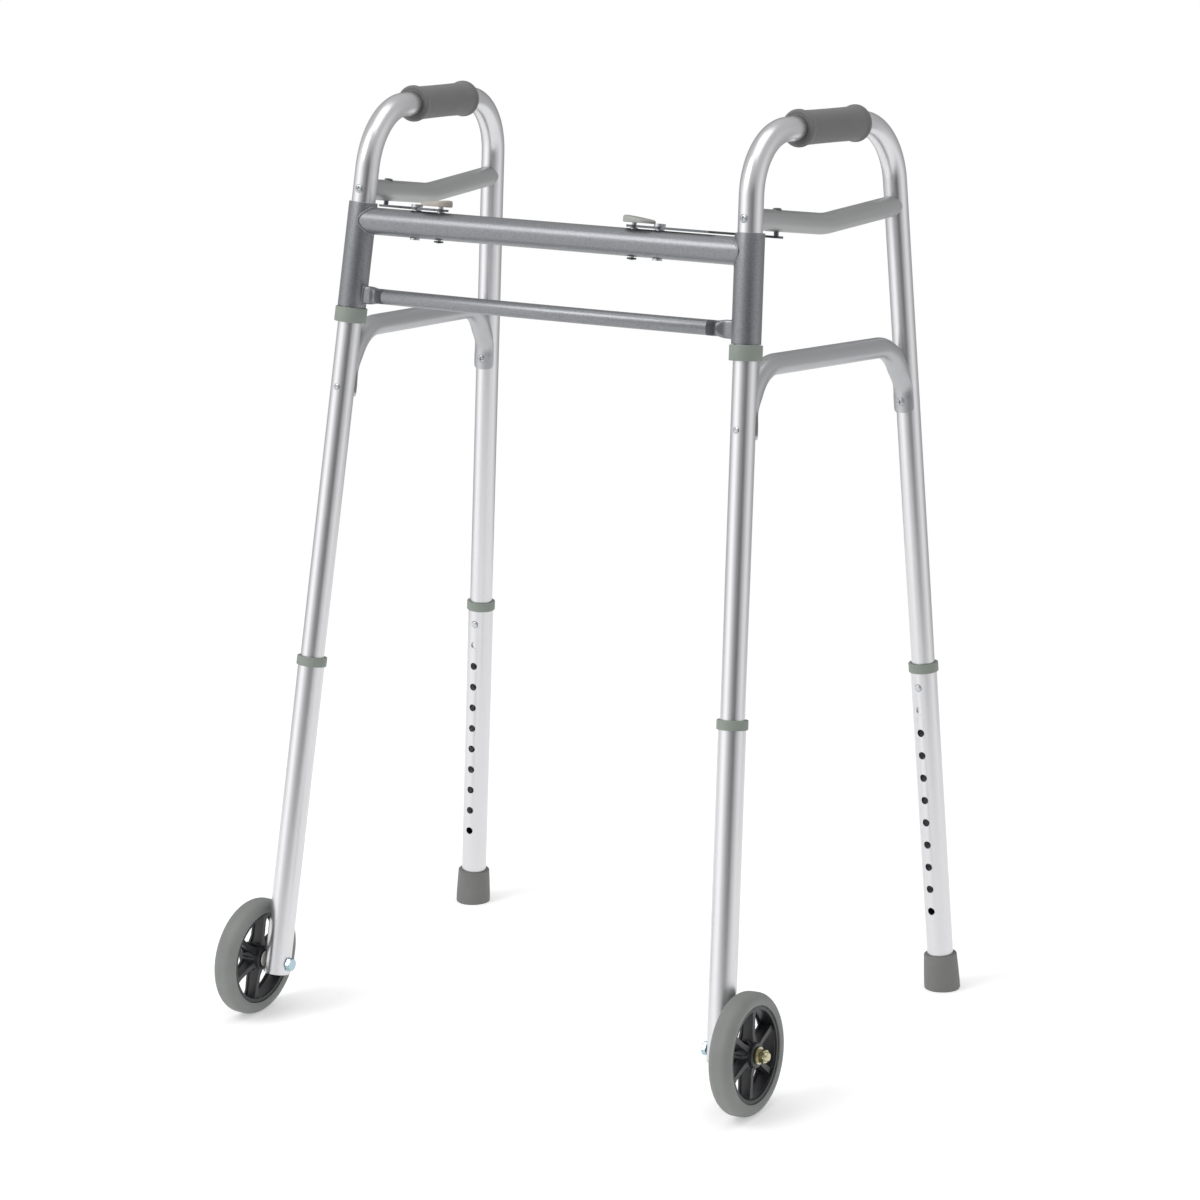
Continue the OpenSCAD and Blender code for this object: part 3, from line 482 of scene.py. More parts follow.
for name in SIDES:
    foot, lean = rear_line(name)
    low_f, low_r = brace_ends(name)
    front_top = np.array([tube_r + rail_r + brace_out_f, low_f + brace_fall])
    rear_top = foot + lean * (low_r + brace_fall)
    rear_top = rear_top - (tube_r + rail_r + brace_out_r) * np.array([1.0, math.tan(brace_rise)])
    front_low = np.array([brace_sink, low_f])
    rear_low = foot + lean * low_r - np.array([brace_sink, 0.0])
    path = round_path([front_low, front_top, rear_top, rear_low], brace_bend_r, 20)[1:-1]
    line = flat_to_side(name, path)
    across = side[name].x
    first = saddle_end(line[0], unit(line[0] - line[1]), side[name], across,
                       np.linalg.norm(path[0] - front_low), low_f - saddle_past_f, 1)
    last = saddle_end(line[-1], unit(line[-1] - line[-2]), rear[name], across,
                      np.linalg.norm(path[-1] - rear_low), low_r - saddle_past_r, -1)
    # the front rings run the other way round, so they are counted backwards
    first = first[::-1][:, (-np.arange(round_steps)) % round_steps]
    whole = np.concatenate([first, rings(line, across, rail_r)[1:-1], last])
    piece("pressed_brace_" + name, [capped(whole)], silver_anodised, "side_" + name, "lower_brace_" + name,
          sharp=50)

# ---------------------------------------------------------------- front frame
# Two steel sleeves and two cross tubes, welded together and sprayed with a dark grey hammer paint.
# The lower tube is bowed forward and pressed flat and tall at its ends, where it meets the sleeves.
bush_wall = 1.1 * mm
frame_wall = 1.3 * mm
run_fit = 0.06 * mm
sleeve_in_r = tube_r + run_fit + bush_wall
sleeve_r = sleeve_in_r + frame_wall
sleeve_edge = 0.4 * mm
upper_h, upper_r = 869 * mm, 14.3 * mm
upper_inset = 26 * mm
lower_h, lower_r = 790.5 * mm, 8 * mm
lower_bow, bow_rows = 20 * mm, 41
flat_l, flat_t, flat_h = 18 * mm, 8 * mm, 19 * mm
flat_rows, flat_share = 14, 0.6
bead_r, bead_ripple = 1.3 * mm, 0.05
cell_mm, flake_mm = 1.7, 0.5


def hammer_paint():
    """Hammer-finish enamel on steel: dark grey with metal flake under a thin coat, in shallow round cells."""
    m = new_material("hammered_grey_enamel")
    where = add(m, "ShaderNodeTexCoord").outputs["Object"]
    cells = add(m, "ShaderNodeTexVoronoi", {"Vector": where, "Scale": 1 / (cell_mm * mm), "Randomness": 0.75},
                feature="SMOOTH_F1")
    flake = add(m, "ShaderNodeTexNoise", {"Vector": where, "Scale": 1 / (flake_mm * mm), "Detail": 2.0})
    shade = add(m, "ShaderNodeValToRGB", {"Fac": cells.outputs["Distance"]})
    shade.color_ramp.elements[0].color = linear("#8e9093")
    shade.color_ramp.elements[1].color = linear("#77797d")
    shade.color_ramp.elements[1].position = 0.8
    gloss = add(m, "ShaderNodeMapRange", {"Value": flake.outputs["Fac"], "To Min": 0.3, "To Max": 0.46})
    bump = add(m, "ShaderNodeBump", {"Height": cells.outputs["Distance"], "Distance": 0.06 * mm,
                                     "Strength": 0.6}, invert=True)
    shader = add(m, "ShaderNodeBsdfPrincipled", {
        "Base Color": shade.outputs["Color"], "Metallic": 0.75, "Roughness": gloss.outputs["Result"],
        "Coat Weight": 0.25, "Coat Roughness": 0.25, "Normal": bump.outputs["Normal"]})
    add(m, "ShaderNodeOutputMaterial", {"Surface": shader.outputs["BSDF"]})
    return m


hammered = hammer_paint()
front_up = -np.array(joints["press_right"]["axis"])
front_across = np.array([1.0, 0.0, 0.0])
front = Axes([0, side["right"].origin[1], 0], front_across, np.cross(front_up, front_across), front_up)


def arc(centre_r, centre_h, radius, start, stop, steps=7):
    """Points of an outline's round corner, as (radius, height), from one angle to another in degrees."""
    a = np.radians(np.linspace(start, stop, steps))
    return list(zip(centre_r + radius * np.cos(a), centre_h + radius * np.sin(a)))


def turned(axes, outline, steps=round_steps):
    """An outline of (radius, height) turned round the Z direction: (r cos t, r sin t, h)."""
    r, h = np.array(outline).T
    t = turns(steps)
    return axes.at(r[:, None] * np.cos(t), r[:, None] * np.sin(t), h[:, None] + 0 * t)


def wall_outline(outer, inner, low, top, edge):
    """A tube's wall with its four edges rounded, closed on itself."""
    corners = ((outer - edge, top - edge), (inner + edge, top - edge), (inner + edge, low + edge),
               (outer - edge, low + edge))
    loop = [p for i, (r, h) in enumerate(corners) for p in arc(r, h, edge, 90 * i, 90 * i + 90, 4)]
    return loop + loop[:1]


def weld_bead(seam, middle, along, ripples):
    """A bead along a closed seam: a circle square to it, with radius * (1 + ripple * cos(ripples * t))."""
    tangent = unit(np.roll(seam, -1, 0) - np.roll(seam, 1, 0))
    out = seam - middle
    beside = unit(np.cross(tangent, out - (out @ along)[:, None] * along))
    out = np.cross(beside, tangent)
    size = bead_r * (1 + bead_ripple * np.cos(ripples * turns(len(seam))))
    a = turns(14)
    bead = seam[:, None, :] + size[:, None, None] * (np.cos(a)[None, :, None] * out[:, None, :]
                                                     + np.sin(a)[None, :, None] * beside[:, None, :])
    return np.concatenate([bead, bead[:1]])


def pressed_end(sign):
    """Rings that ease from a circle to a tall slab: |y/a| ** n + |z/b| ** n = 1, where n goes from 2 to 5."""
    t = turns(round_steps)
    reach = np.linspace(0, 1, flat_rows)
    m = smooth(reach / flat_share)[:, None]
    power = 2 / (2 + 3 * m)
    deep = lower_r + (flat_t / 2 - lower_r) * m
    tall = lower_r + (flat_h / 2 - lower_r) * m
    c, s = np.cos(t)[None], np.sin(t)[None]
    x = sign * (bow_half + reach[:, None] * (flat_l + 1 * mm)) + 0 * c
    grid = front.at(x, -deep * np.sign(s) * np.abs(s) ** power,
                    lower_z + tall * np.sign(c) * np.abs(c) ** power)
    grid[-1] = cope(grid[-2], [sign, 0, 0], side["right" if sign > 0 else "left"], sleeve_r)
    return grid


for name in SIDES:
    outline = wall_outline(sleeve_r, sleeve_in_r, sleeve_low, sleeve_top, sleeve_edge)
    piece("pivot_sleeve_" + name, [turned(side[name], outline)], hammered, "front_frame", "sleeve_" + name,
          sharp=60)

left_seat, right_seat = side["left"].at(0, 0, upper_h), side["right"].at(0, 0, upper_h)
inset = upper_inset * front_across
upper_line = np.array([left_seat + inset, left_seat + 2 * inset, right_seat - 2 * inset, right_seat - inset])
upper = coped_tube(upper_line, front.z, upper_r, (side["left"], side["right"]), sleeve_r, 72)
beads = [weld_bead(upper[0], left_seat, front_across, 26),
         weld_bead(upper[-1], right_seat, -front_across, 26)]
piece("upper_cross_bar", [capped(upper), *beads], hammered, "front_frame", "upper_cross_tube")

left_seat, right_seat = side["left"].at(0, 0, lower_h), side["right"].at(0, 0, lower_h)
lower_z = (right_seat - front.origin) @ front.z
bow_half = right_seat[0] - sleeve_r - flat_l
bow_r = (bow_half ** 2 + lower_bow ** 2) / (2 * lower_bow)
swing = np.linspace(-1, 1, bow_rows) * math.asin(bow_half / bow_r)
bow_line = front.at(bow_r * np.sin(swing), bow_r * (1 - np.cos(swing)) - lower_bow, lower_z + 0 * swing)
left_end, right_end = pressed_end(-1)[::-1], pressed_end(1)
lower = np.concatenate([left_end[:-1], rings(bow_line, front.z, lower_r)[1:-1], right_end[1:]])
beads = [weld_bead(lower[0], left_seat, front_across, 18),
         weld_bead(lower[-1], right_seat, -front_across, 18)]
piece("lower_cross_bar", [capped(lower), *beads], hammered, "front_frame", "lower_cross_tube")

# ---------------------------------------------------------------- plastic collars and rings
# Pale grey-green nylon: a collar under each sleeve carries the front frame, and a ring on each extension
# keeps the inner tube from rattling. Injection moulded, so semi-matt with a fine spark-eroded texture.
touch, gap = 0.02 * mm, 0.4 * mm
collar_r, collar_l, collar_edge = 17 * mm, 16 * mm, 0.9 * mm
ring_r, ring_l, ring_over, ring_edge = 16.2 * mm, 10 * mm, 2 * mm, 0.7 * mm
ext_over = 24 * mm
ext_in_r = tube_r + run_fit
ext_r = ext_in_r + tube_wall
legs = {(name, which): {"front": side, "rear": rear}[which][name] for name in SIDES for which in button_h}


def moulded(name, colour, roughness, grain_mm, depth_mm, spread=0.06, sheen=0.0):
    """Moulded plastic or rubber: one colour in slow clouds of shade, and a fine mould grain in the bump."""
    m = new_material(name)
    where = add(m, "ShaderNodeTexCoord").outputs["Object"]
    grain = add(m, "ShaderNodeTexNoise", {"Vector": where, "Scale": 1 / (grain_mm * mm), "Detail": 3.0})
    cloud = add(m, "ShaderNodeTexNoise", {"Vector": where, "Scale": 1 / (25 * mm), "Detail": 4.0})
    shade = add(m, "ShaderNodeValToRGB", {"Fac": cloud.outputs["Fac"]})
    for element, factor, place in zip(shade.color_ramp.elements, (1 - spread, 1 + spread), (0.3, 0.7)):
        element.position = place
        element.color = shaded(colour, factor)
    gloss = add(m, "ShaderNodeMapRange", {"Value": grain.outputs["Fac"], "To Min": roughness - 0.06,
                                         "To Max": roughness + 0.06})
    bump = add(m, "ShaderNodeBump", {"Height": grain.outputs["Fac"], "Distance": depth_mm * mm,
                                     "Strength": 0.8})
    shader = add(m, "ShaderNodeBsdfPrincipled", {
        "Base Color": shade.outputs["Color"], "Roughness": gloss.outputs["Result"],
        "Normal": bump.outputs["Normal"], "Sheen Weight": sheen, "Sheen Roughness": 0.5})
    add(m, "ShaderNodeOutputMaterial", {"Surface": shader.outputs["BSDF"]})
    return m


# natural nylon with a grey-green dye: semi-matt; the mould's texture is drawn at 0.5 mm so that it shows
collar_nylon = moulded("moulded_nylon_grey_green", "#858d85", 0.5, 0.5, 0.05)

for name in SIDES:
    top = sleeve_low - gap
    outline = wall_outline(collar_r, tube_r + touch, top - collar_l, top, collar_edge)
    piece("sleeve_stop_collar_" + name, [turned(side[name], outline)], collar_nylon, "side_" + name,
          "sleeve_collar_" + name, sharp=60)

for (name, which), axes in legs.items():
    step = button_h[which] + ext_over
    top, low = step + ring_over, step + ring_over - ring_l
    bore_r, seat_r = tube_r + gap, ext_r + touch / 2
    outline = (arc(ring_r - ring_edge, top - ring_edge, ring_edge, 0, 90)
               + [(bore_r, top), (bore_r, step), (seat_r, step), (seat_r, low)]
               + arc(ring_r - ring_edge, low + ring_edge, ring_edge, 270, 360))
    piece(which + "_guide_ring_" + name, [turned(axes, outline + outline[:1])], collar_nylon,
          which + "_leg_" + name, which + "_ring_" + name, sharp=45)

# ---------------------------------------------------------------- leg extensions
# A larger tube slides up each leg. It has eleven punched holes at a 25.4 mm pitch, and the button stands in
# one of them.
hole_n = 11
hole_r = 4.2 * mm
patch_columns = 8
hole_turns = 3
axle_under = 12 * mm
rear_tube_low = 8 * mm
axle_turn = {name: np.array(joints["roll_" + name]["axis"]) * SIDES[name] for name in SIDES}
wheel_middle = {name: np.array(joints["roll_" + name]["pos_m"]) for name in SIDES}


def pierced_wall(axes, radius, low, high, facing, holes):
    """A tube's wall with round holes, each in a square patch whose rings ease from the square to the rim.

    A rim point at angle a lies at x = hole_r sin a, z = hole_r cos a on the cylinder of that radius."""
    half = patch_columns // 2
    step = 2 * math.pi / round_steps
    half_z = radius * half * step
    heights = [low, high] + [h + half_z * k / half for h in holes for k in range(-half, half + 1)]
    heights = np.unique(np.round(np.array(heights), 7))

    def on(angle, z):
        return axes.at(radius * np.sin(angle), radius * np.cos(angle), z)

    size = (len(heights), round_steps)
    wall = on(np.broadcast_to(facing + (np.arange(round_steps) - half) * step, size),
              np.broadcast_to(heights[:, None], size))
    cells = quads(*size)
    row, column = cells[:, 0] // round_steps, cells[:, 0] % round_steps
    middle = (heights[row] + heights[row + 1]) / 2
    in_patch = (column < patch_columns) & (np.abs(middle[:, None] - np.array(holes)).min(1) < half_z)
    points, corners, rims = [wall.reshape(-1, 3)], [cells[~in_patch]], []
    # the square's edge points in order: along its low side, up, back and down
    k, edge = np.arange(-half, half), np.full(2 * half, half)
    square = np.concatenate([np.stack(pair, 1) for pair in ((k, -edge), (edge, k), (-k, edge), (-edge, -k))])
    turn = np.arctan2(square[:, 0], square[:, 1])
    edge_angle, edge_z = square[:, 0] * step, square[:, 1] * half_z / half
    rim_angle, rim_z = np.arcsin(hole_r * np.sin(turn) / radius), hole_r * np.cos(turn)
    share = np.linspace(0, 1, hole_turns + 1)[:, None]
    for height in holes:
        patch = on(facing + edge_angle + (rim_angle - edge_angle) * share,
                   height + edge_z + (rim_z - edge_z) * share)
        corners.append(quads(len(share), len(square), sum(len(p) for p in points)))
        points.append(patch.reshape(-1, 3))
        rims.append(patch[-1])
    return np.concatenate(points), np.concatenate(corners), [wall[0], wall[-1], *rims]


for (name, which), axes in legs.items():
    axle_h = (wheel_middle[name] - side[name].origin) @ side[name].z
    low, facing = (axle_h - axle_under, 0.0) if which == "front" else (rear_tube_low, math.pi)
    holes = [button_h[which] - i * hole_pitch for i in range(hole_n)]
    high = button_h[which] + ext_over
    skin, bore = (pierced_wall(axes, radius, low, high, facing, holes) for radius in (ext_r, ext_in_r))
    cells = (np.concatenate([skin[0], bore[0]]), np.concatenate([skin[1], bore[1] + len(skin[0])]))
    # the wall's thickness, at both ends and in every hole
    joins = [np.stack([a, b]) for a, b in zip(skin[2], bore[2])]
    piece(which + "_extension_tube_" + name, joins, clear_anodised, which + "_leg_" + name,
          which + "_extension_" + name, cells=cells)

# ---------------------------------------------------------------- snap buttons
# A domed steel button on a spring clip inside the leg stands through the extension's top hole.
button_r, button_round = 3.8 * mm, 1.5 * mm
button_out = 1.6 * mm
button_back = 3.4 * mm
flange_over, flange_t = 1.2 * mm, 1.6 * mm


def plated(name, colour, roughness, grain_mm=0.8):
    """Zinc-plated steel: bright metal with a faint crystal mottle in shade and gloss."""
    m = new_material(name)
    where = add(m, "ShaderNodeTexCoord").outputs["Object"]
    crystals = add(m, "ShaderNodeTexVoronoi", {"Vector": where, "Scale": 1 / (grain_mm * mm)})
    haze = add(m, "ShaderNodeTexNoise", {"Vector": where, "Scale": 1 / (4 * mm), "Detail": 3.0})
    shade = add(m, "ShaderNodeValToRGB", {"Fac": haze.outputs["Fac"]})
    shade.color_ramp.elements[0].color = shaded(colour, 0.9)
    shade.color_ramp.elements[1].color = linear(colour)
    gloss = add(m, "ShaderNodeMapRange", {"Value": crystals.outputs["Distance"], "To Min": roughness - 0.05,
                                         "To Max": roughness + 0.1})
    bump = add(m, "ShaderNodeBump", {"Height": haze.outputs["Fac"], "Distance": 0.01 * mm, "Strength": 0.5})
    shader = add(m, "ShaderNodeBsdfPrincipled", {
        "Base Color": shade.outputs["Color"], "Metallic": 1.0, "Roughness": gloss.outputs["Result"],
        "Normal": bump.outputs["Normal"]})
    add(m, "ShaderNodeOutputMaterial", {"Surface": shader.outputs["BSDF"]})
    return m


# clear zinc: a bright, slightly hazy grey
zinc = plated("clear_zinc_plated_steel", "#c8cbce", 0.28)


def facing_out(axes, height, way):
    """Axes at a height on a leg whose Z points along the leg's Y, one way or the other."""
    return axes.moved(0, 0, height).turned((way, 0, 0), (0, 0, 1), (0, way, 0))


for (name, which), leg in legs.items():
    axes = facing_out(leg, button_h[which], 1 if which == "front" else -1)
    back_h, tip = tube_r - tube_wall - button_back, ext_r + button_out
    flange = button_r + flange_over
    outline = [(0, back_h), (flange, back_h), (flange, back_h + flange_t), (button_r, back_h + flange_t)]
    outline += arc(button_r - button_round, tip - button_round, button_round, 0, 75, 8) + [(0, tip)]
    piece(which + "_snap_button_" + name, [turned(axes, outline, 40)], zinc,
          which + "_button_body_" + name, which + "_button_" + name)

# ---------------------------------------------------------------- rubber tips
# A moulded rubber ferrule on each rear leg: straight at the top, flared to the floor, with a rolled rim.
tip_r, tip_top_r, tip_h = 19.75 * mm, 18.25 * mm, 40 * mm
tip_round, tip_foot, tip_cut = 1.6 * mm, 5 * mm, 6 * mm
# moulded rubber: mid grey and dull, its grain drawn at 0.6 mm so that it shows
tip_rubber = moulded("moulded_rubber_grey", "#727371", 0.62, 0.6, 0.06, 0.05)
for name in SIDES:
    flare = np.linspace(0, 1, 16)
    # the outline starts under the floor and is pressed flat on it, so a leaning tip stands on a flat face
    outline = [(0, -tip_cut), (tip_r - 1.2 * mm, -tip_cut), (tip_r, 0.5 * mm), (tip_r, tip_foot - 1 * mm)]
    outline += zip(tip_r + (tip_top_r - tip_r) * flare ** 1.4, tip_foot + (tip_h - 8 * mm) * flare)
    outline += arc(tip_top_r - tip_round, tip_h - tip_round, tip_round, 0, 90)
    outline += [(ext_r + touch, tip_h - gap), (ext_r + touch, rear_tube_low), (0, rear_tube_low)]
    grid = turned(rear[name], outline)
    grid[..., 2] = np.maximum(grid[..., 2], 0)
    piece("rubber_ferrule_" + name, [grid], tip_rubber, "rear_leg_" + name, "rubber_tip_" + name,
          sharp=50)

# ---------------------------------------------------------------- hand grips
# A soft vinyl sleeve with a rolled bead at each end, pushed on to the hand bar. It is moulded in one piece,
# with a shallow step inside each end where it leaves the bar.
grip_r, grip_end_r, grip_l = 17.5 * mm, 19.5 * mm, 116 * mm
grip_recess, grip_shift = 0.9 * mm, 6 * mm
grip_roll, grip_neck = 2.6 * mm, 7.5 * mm
recess_r = tube_r + 0.6 * mm
# soft vinyl: dark grey, nearly without gloss, with a faint sheen at its edges
grip_vinyl = moulded("soft_grey_vinyl", "#6b6c6b", 0.68, 0.45, 0.05, 0.04, 0.1)


def bend_reach(path, corner):
    """How far from a corner of the path its arc begins: radius * tan(turn / 2)."""
    d, e = unit(path[corner] - path[corner - 1]), unit(path[corner + 1] - path[corner])
    return bend_r * math.tan(math.acos(np.clip(d @ e, -1, 1)) / 2)


def mirrored(half):
    """An outline from height 0 up, its mirror image below it and the first point again."""
    loop = half + [(r, -h) for r, h in half[::-1]]
    return loop + loop[:1]


for name in SIDES:
    path = side_path(name)
    bar = unit(path[2] - path[1])
    straight = path[1] + bar * bend_reach(path, 1), path[2] - bar * bend_reach(path, 2)
    middle = (straight[0] + straight[1]) / 2 + bar * grip_shift
    axes = side[name].moved(0, *middle).turned((1, 0, 0), (0, -bar[1], bar[0]), (0, *bar))
    end = grip_l / 2
    body = np.linspace(0, 1, 13)
    # the waist swells by half a millimetre towards the ends, as the cube of the distance from the middle
    half = list(zip(grip_r + 0.5 * mm * body ** 3, (end - grip_neck) * body))
    half += [(grip_end_r - 1.2 * mm, end - 6.6 * mm), (grip_end_r - 0.5 * mm, end - 5.6 * mm),
             (grip_end_r, end - 4.4 * mm)]
    half += arc(grip_end_r - grip_roll, end - grip_roll, grip_roll, 0, 135, 10)
    half += [(recess_r + 0.3 * mm, end - 0.5 * mm), (recess_r, end - grip_recess),
             (tube_r + touch, end - grip_recess)]
    piece("soft_hand_grip_" + name, [turned(axes, mirrored(half), 80)], grip_vinyl, "side_" + name,
          "hand_grip_" + name, sharp=55)

# ---------------------------------------------------------------- wheels
# A black nylon wheel: a rim with two flanges, six I-section spokes and a ribbed boss. A grey rubber tyre is
# moulded round it. Both turn on a plastic bush over the axle bolt.
wheel_r, wheel_half, wheel_gap = 63.5 * mm, 12.5 * mm, 3.2 * mm
tyre_t, tyre_round, rim_t, spoke_n = 13 * mm, 9 * mm, 4 * mm, 6
hub_r = 13.5 * mm
axle_r = 4 * mm
bush_r = axle_r + 2 * mm
hub_half = wheel_half + 1 * mm
wheel_off = ext_r + wheel_gap + wheel_half
# moulded tyre rubber: lighter and a little glossier than the tips
tyre_rubber = moulded("moulded_tyre_rubber_grey", "#7e807e", 0.58, 0.8, 0.06, 0.05)
# glass-filled nylon: black and semi-gloss, with a slight mottle from the glass
black_nylon = moulded("glass_filled_black_nylon", "#26272a", 0.36, 0.5, 0.04, 0.15)
axle = {name: Axes(wheel_middle[name], side[name].z, np.cross(axle_turn[name], side[name].z), axle_turn[name])
        for name in SIDES}
# an I section as shares of a spoke's half width and half depth
i_section = np.array([(-1, -1), (1, -1), (1, -0.72), (0.42, -0.6), (0.42, 0.6), (1, 0.72), (1, 1), (-1, 1),
                      (-1, 0.72), (-0.42, 0.6), (-0.42, -0.6), (-1, -0.72)], float)


def spoke(axes, angle, stations):
    """An I-section (across, along the axle) scaled and set at each station's radius, turned to an angle."""
    radius, wide, deep = (mm * np.array(column)[:, None] for column in zip(*stations))
    across = wide * i_section[:, 0]
    return capped(axes.at(radius * math.cos(angle) - across * math.sin(angle),
                          radius * math.sin(angle) + across * math.cos(angle), deep * i_section[:, 1]))


for name in SIDES:
    axes = axle[name]
    rim_out = wheel_r - tyre_t
    rim_in = rim_out - rim_t
    crown_h = wheel_half - tyre_round
    tread = [(wheel_r, 0), (wheel_r, crown_h / 2)] + arc(wheel_r - tyre_round, crown_h, tyre_round, 0, 78, 12)
    tread += [(rim_out + 3 * mm, wheel_half), (rim_out + 1.4 * mm, wheel_half - 0.9 * mm),
              (rim_out, wheel_half - 1.2 * mm)]
    piece("rubber_tyre_" + name, [turned(axes, mirrored(tread), 96)], tyre_rubber, "wheel_" + name,
          "tyre_" + name, sharp=35)

    # each outline runs from the middle of the wheel out to one side, and is mirrored to the other
    flange = wheel_half - 2.5 * mm
    rim = [(rim_in + 0.8 * mm, 0), (rim_in + 0.8 * mm, flange - 4 * mm),
           (rim_in - 0.8 * mm, flange - 1.6 * mm), (rim_in - 0.5 * mm, flange),
           (rim_out - 1 * mm, flange + 0.3 * mm), (rim_out - touch, flange)]
    boss = [(hub_r, hub_half - 5 * mm), (hub_r - 0.4 * mm, hub_half - 1.4 * mm),
            (hub_r - 1.2 * mm, hub_half - 0.6 * mm), (bush_r + 3.2 * mm, hub_half - 0.5 * mm),
            (bush_r + 3 * mm, hub_half - 1.6 * mm), (bush_r + 1.9 * mm, hub_half - 1.5 * mm),
            (bush_r + 1.6 * mm, hub_half), (bush_r + run_fit, hub_half)]
    # stations in millimetres: radius, half width and half depth
    hub_mm, rim_mm = hub_r / mm, rim_in / mm
    spokes = [spoke(axes, angle, [(hub_mm - 2, 4.4, 9.5), (hub_mm + 2, 3.4, 8.6), (hub_mm + 8, 2.6, 7.4),
                                  (rim_mm - 8, 2.6, 7.0), (rim_mm - 2, 3.4, 7.4), (rim_mm + 1.6, 4.2, 7.8)])
              for angle in turns(spoke_n)]
    ribs = [spoke(axes, angle + math.pi / spoke_n, [(hub_mm - 1.5, 1.0, 9), (hub_mm + 3.5, 0.8, 5)])
            for angle in turns(spoke_n)]
    rounds = [turned(axes, mirrored(rim), 96), turned(axes, mirrored(boss))]
    piece("spoked_hub_" + name, [*rounds, *spokes, *ribs], black_nylon, "wheel_" + name, "wheel_hub_" + name,
          sharp=30)

# ---------------------------------------------------------------- axle hardware
# A hexagon bolt passes through the leg and the wheel, and a domed lock nut on a washer holds it outside.
nut_r, nut_t = 7.5 * mm, 7 * mm
nut_flat = nut_r * math.cos(math.pi / 6)
nut_washer_r, nut_washer_t = 9 * mm, 1.4 * mm
bolt_head_h, bolt_past = 5 * mm, 8 * mm
dome_r, dome_h, dome_hole_r = 5.2 * mm, 3.2 * mm, 2.6 * mm
# clear zinc has a blue cast, and the passivated nut a yellow one
blue_zinc = plated("blue_zinc_plated_steel", "#b4c9d3", 0.25)
yellow_zinc = plated("yellow_passivated_steel", "#c9c4a2", 0.27)


def hexagon(axes, levels, steps=72):
    """A hexagon nut or head: radius = min(flat / cos(angle from the nearest flat), chamfer) at a height."""
    t = turns(steps)
    from_flat = (t + math.pi / 6) % (math.pi / 3) - math.pi / 6
    chamfer, height = (np.array(column)[:, None] for column in zip(*levels))
    r = np.minimum(nut_flat / np.cos(from_flat), chamfer)
    return capped(axes.at(r * np.cos(t), r * np.sin(t), height + 0 * t))


for name in SIDES:
    leg = axle[name].moved(0, 0, -wheel_off)
    inward = leg.turned((1, 0, 0), (0, -1, 0), (0, 0, -1))
    head_end = ext_r + bolt_head_h
    head = hexagon(inward, [(nut_r, ext_r), (nut_r, head_end - 0.8 * mm), (nut_flat + 0.1 * mm, head_end)])
    seat = wheel_off + hub_half + gap
    shank = capped(turned(leg, [(axle_r, -ext_r), (axle_r, seat + bolt_past)], 40))
    piece("hex_axle_bolt_" + name, [head, shank], blue_zinc, "front_leg_" + name, "axle_bolt_" + name,
          sharp=28)
    top = seat + nut_washer_t
    washer = turned(leg, [(axle_r, seat), (nut_washer_r, seat), (nut_washer_r, top), (axle_r, top),
                          (axle_r, seat)])
    nut = hexagon(leg, [(nut_flat + 0.2 * mm, top), (nut_r, top + 0.7 * mm), (nut_r, top + nut_t - 0.8 * mm),
                        (nut_flat + 0.1 * mm, top + nut_t)])
    base = top + nut_t - 0.2 * mm
    dome = [(0, base), *arc(0, base, dome_r, 0, 40, 6), (dome_hole_r, base + dome_h), (0, base + dome_h)]
    piece("domed_lock_nut_" + name, [washer, nut, turned(leg, dome, 48)], yellow_zinc, "front_leg_" + name,
          "axle_nut_" + name, sharp=28)

# ---------------------------------------------------------------- screws, rivets and studs
# Pan-head cross-recess screws and domed rivets hold the rail and the brace to the bent tube. A threaded plug
# inside each end of the rail takes its screw.
screw_r, screw_head_r, screw_head_h = 2.4 * mm, 4.6 * mm, 1.8 * mm
cross_deep, cross_half, cross_reach = 1.5 * mm, 0.55 * mm, 0.55 * screw_head_r
rivet_r = screw_head_r - 1 * mm
rivet_h, rivet_dimple = 1.1 * mm, 0.2 * mm
brace_rivet_past, brace_screw_past = 6 * mm, 2 * mm
plug_l = 12 * mm
on_tube, on_saddle = tube_r - 0.3 * mm, tube_r + saddle_t - 0.2 * mm
# zinc plating painted a shade darker than the buttons: painted shade for the dark rims and cross recesses of
# the heads, so that they stand out on the silver tube
shade_darkened_zinc = plated("shade_darkened_zinc_plated_steel", "#b2b5b7", 0.26)


def screw_head(axes, seat):
    """A pan head, height * (1 - (r / R) ** 4) ** 0.5, less a cross where |x| or |y| is under a half width."""
    levels = np.concatenate([np.linspace(0, 0.62, 16), np.linspace(0.66, 1, 8)])
    t = turns(96)
    r = (levels * screw_head_r)[:, None]
    x, y = r * np.cos(t), r * np.sin(t)
    top = seat + screw_head_h * np.sqrt(np.maximum(1 - levels ** 4, 0))[:, None] + 0 * x

    def slot(across, along):
        width = np.clip((cross_half - np.abs(across)) / (0.25 * mm) + 0.5, 0, 1)
        return width * np.clip((cross_reach - np.abs(along)) / (0.3 * mm), 0, 1)

    z = top - cross_deep * np.maximum(slot(x, y), slot(y, x)) * (1 - 0.5 * r / cross_reach).clip(0, 1)
    base = axes.at(0 * x[-1:], 0 * y[-1:], np.full((1, len(t)), seat))
    return np.concatenate([axes.at(x, y, z), base])


def rivet(axes, seat, height=rivet_h, dimple=rivet_dimple):
    """A domed head with a dimple in the middle: height * (1 + 3 sin a) / 4 at radius * cos a."""
    a = np.radians((20, 40, 55, 68))
    outline = [(0, seat), (rivet_r, seat), (rivet_r, seat + 0.25 * height)]
    outline += zip(rivet_r * np.cos(a), seat + height * (0.25 + 0.75 * np.sin(a)))
    outline += [(rivet_r * 0.3, seat + height - dimple * 0.3), (0, seat + height - dimple)]
    return turned(axes, outline, 48)


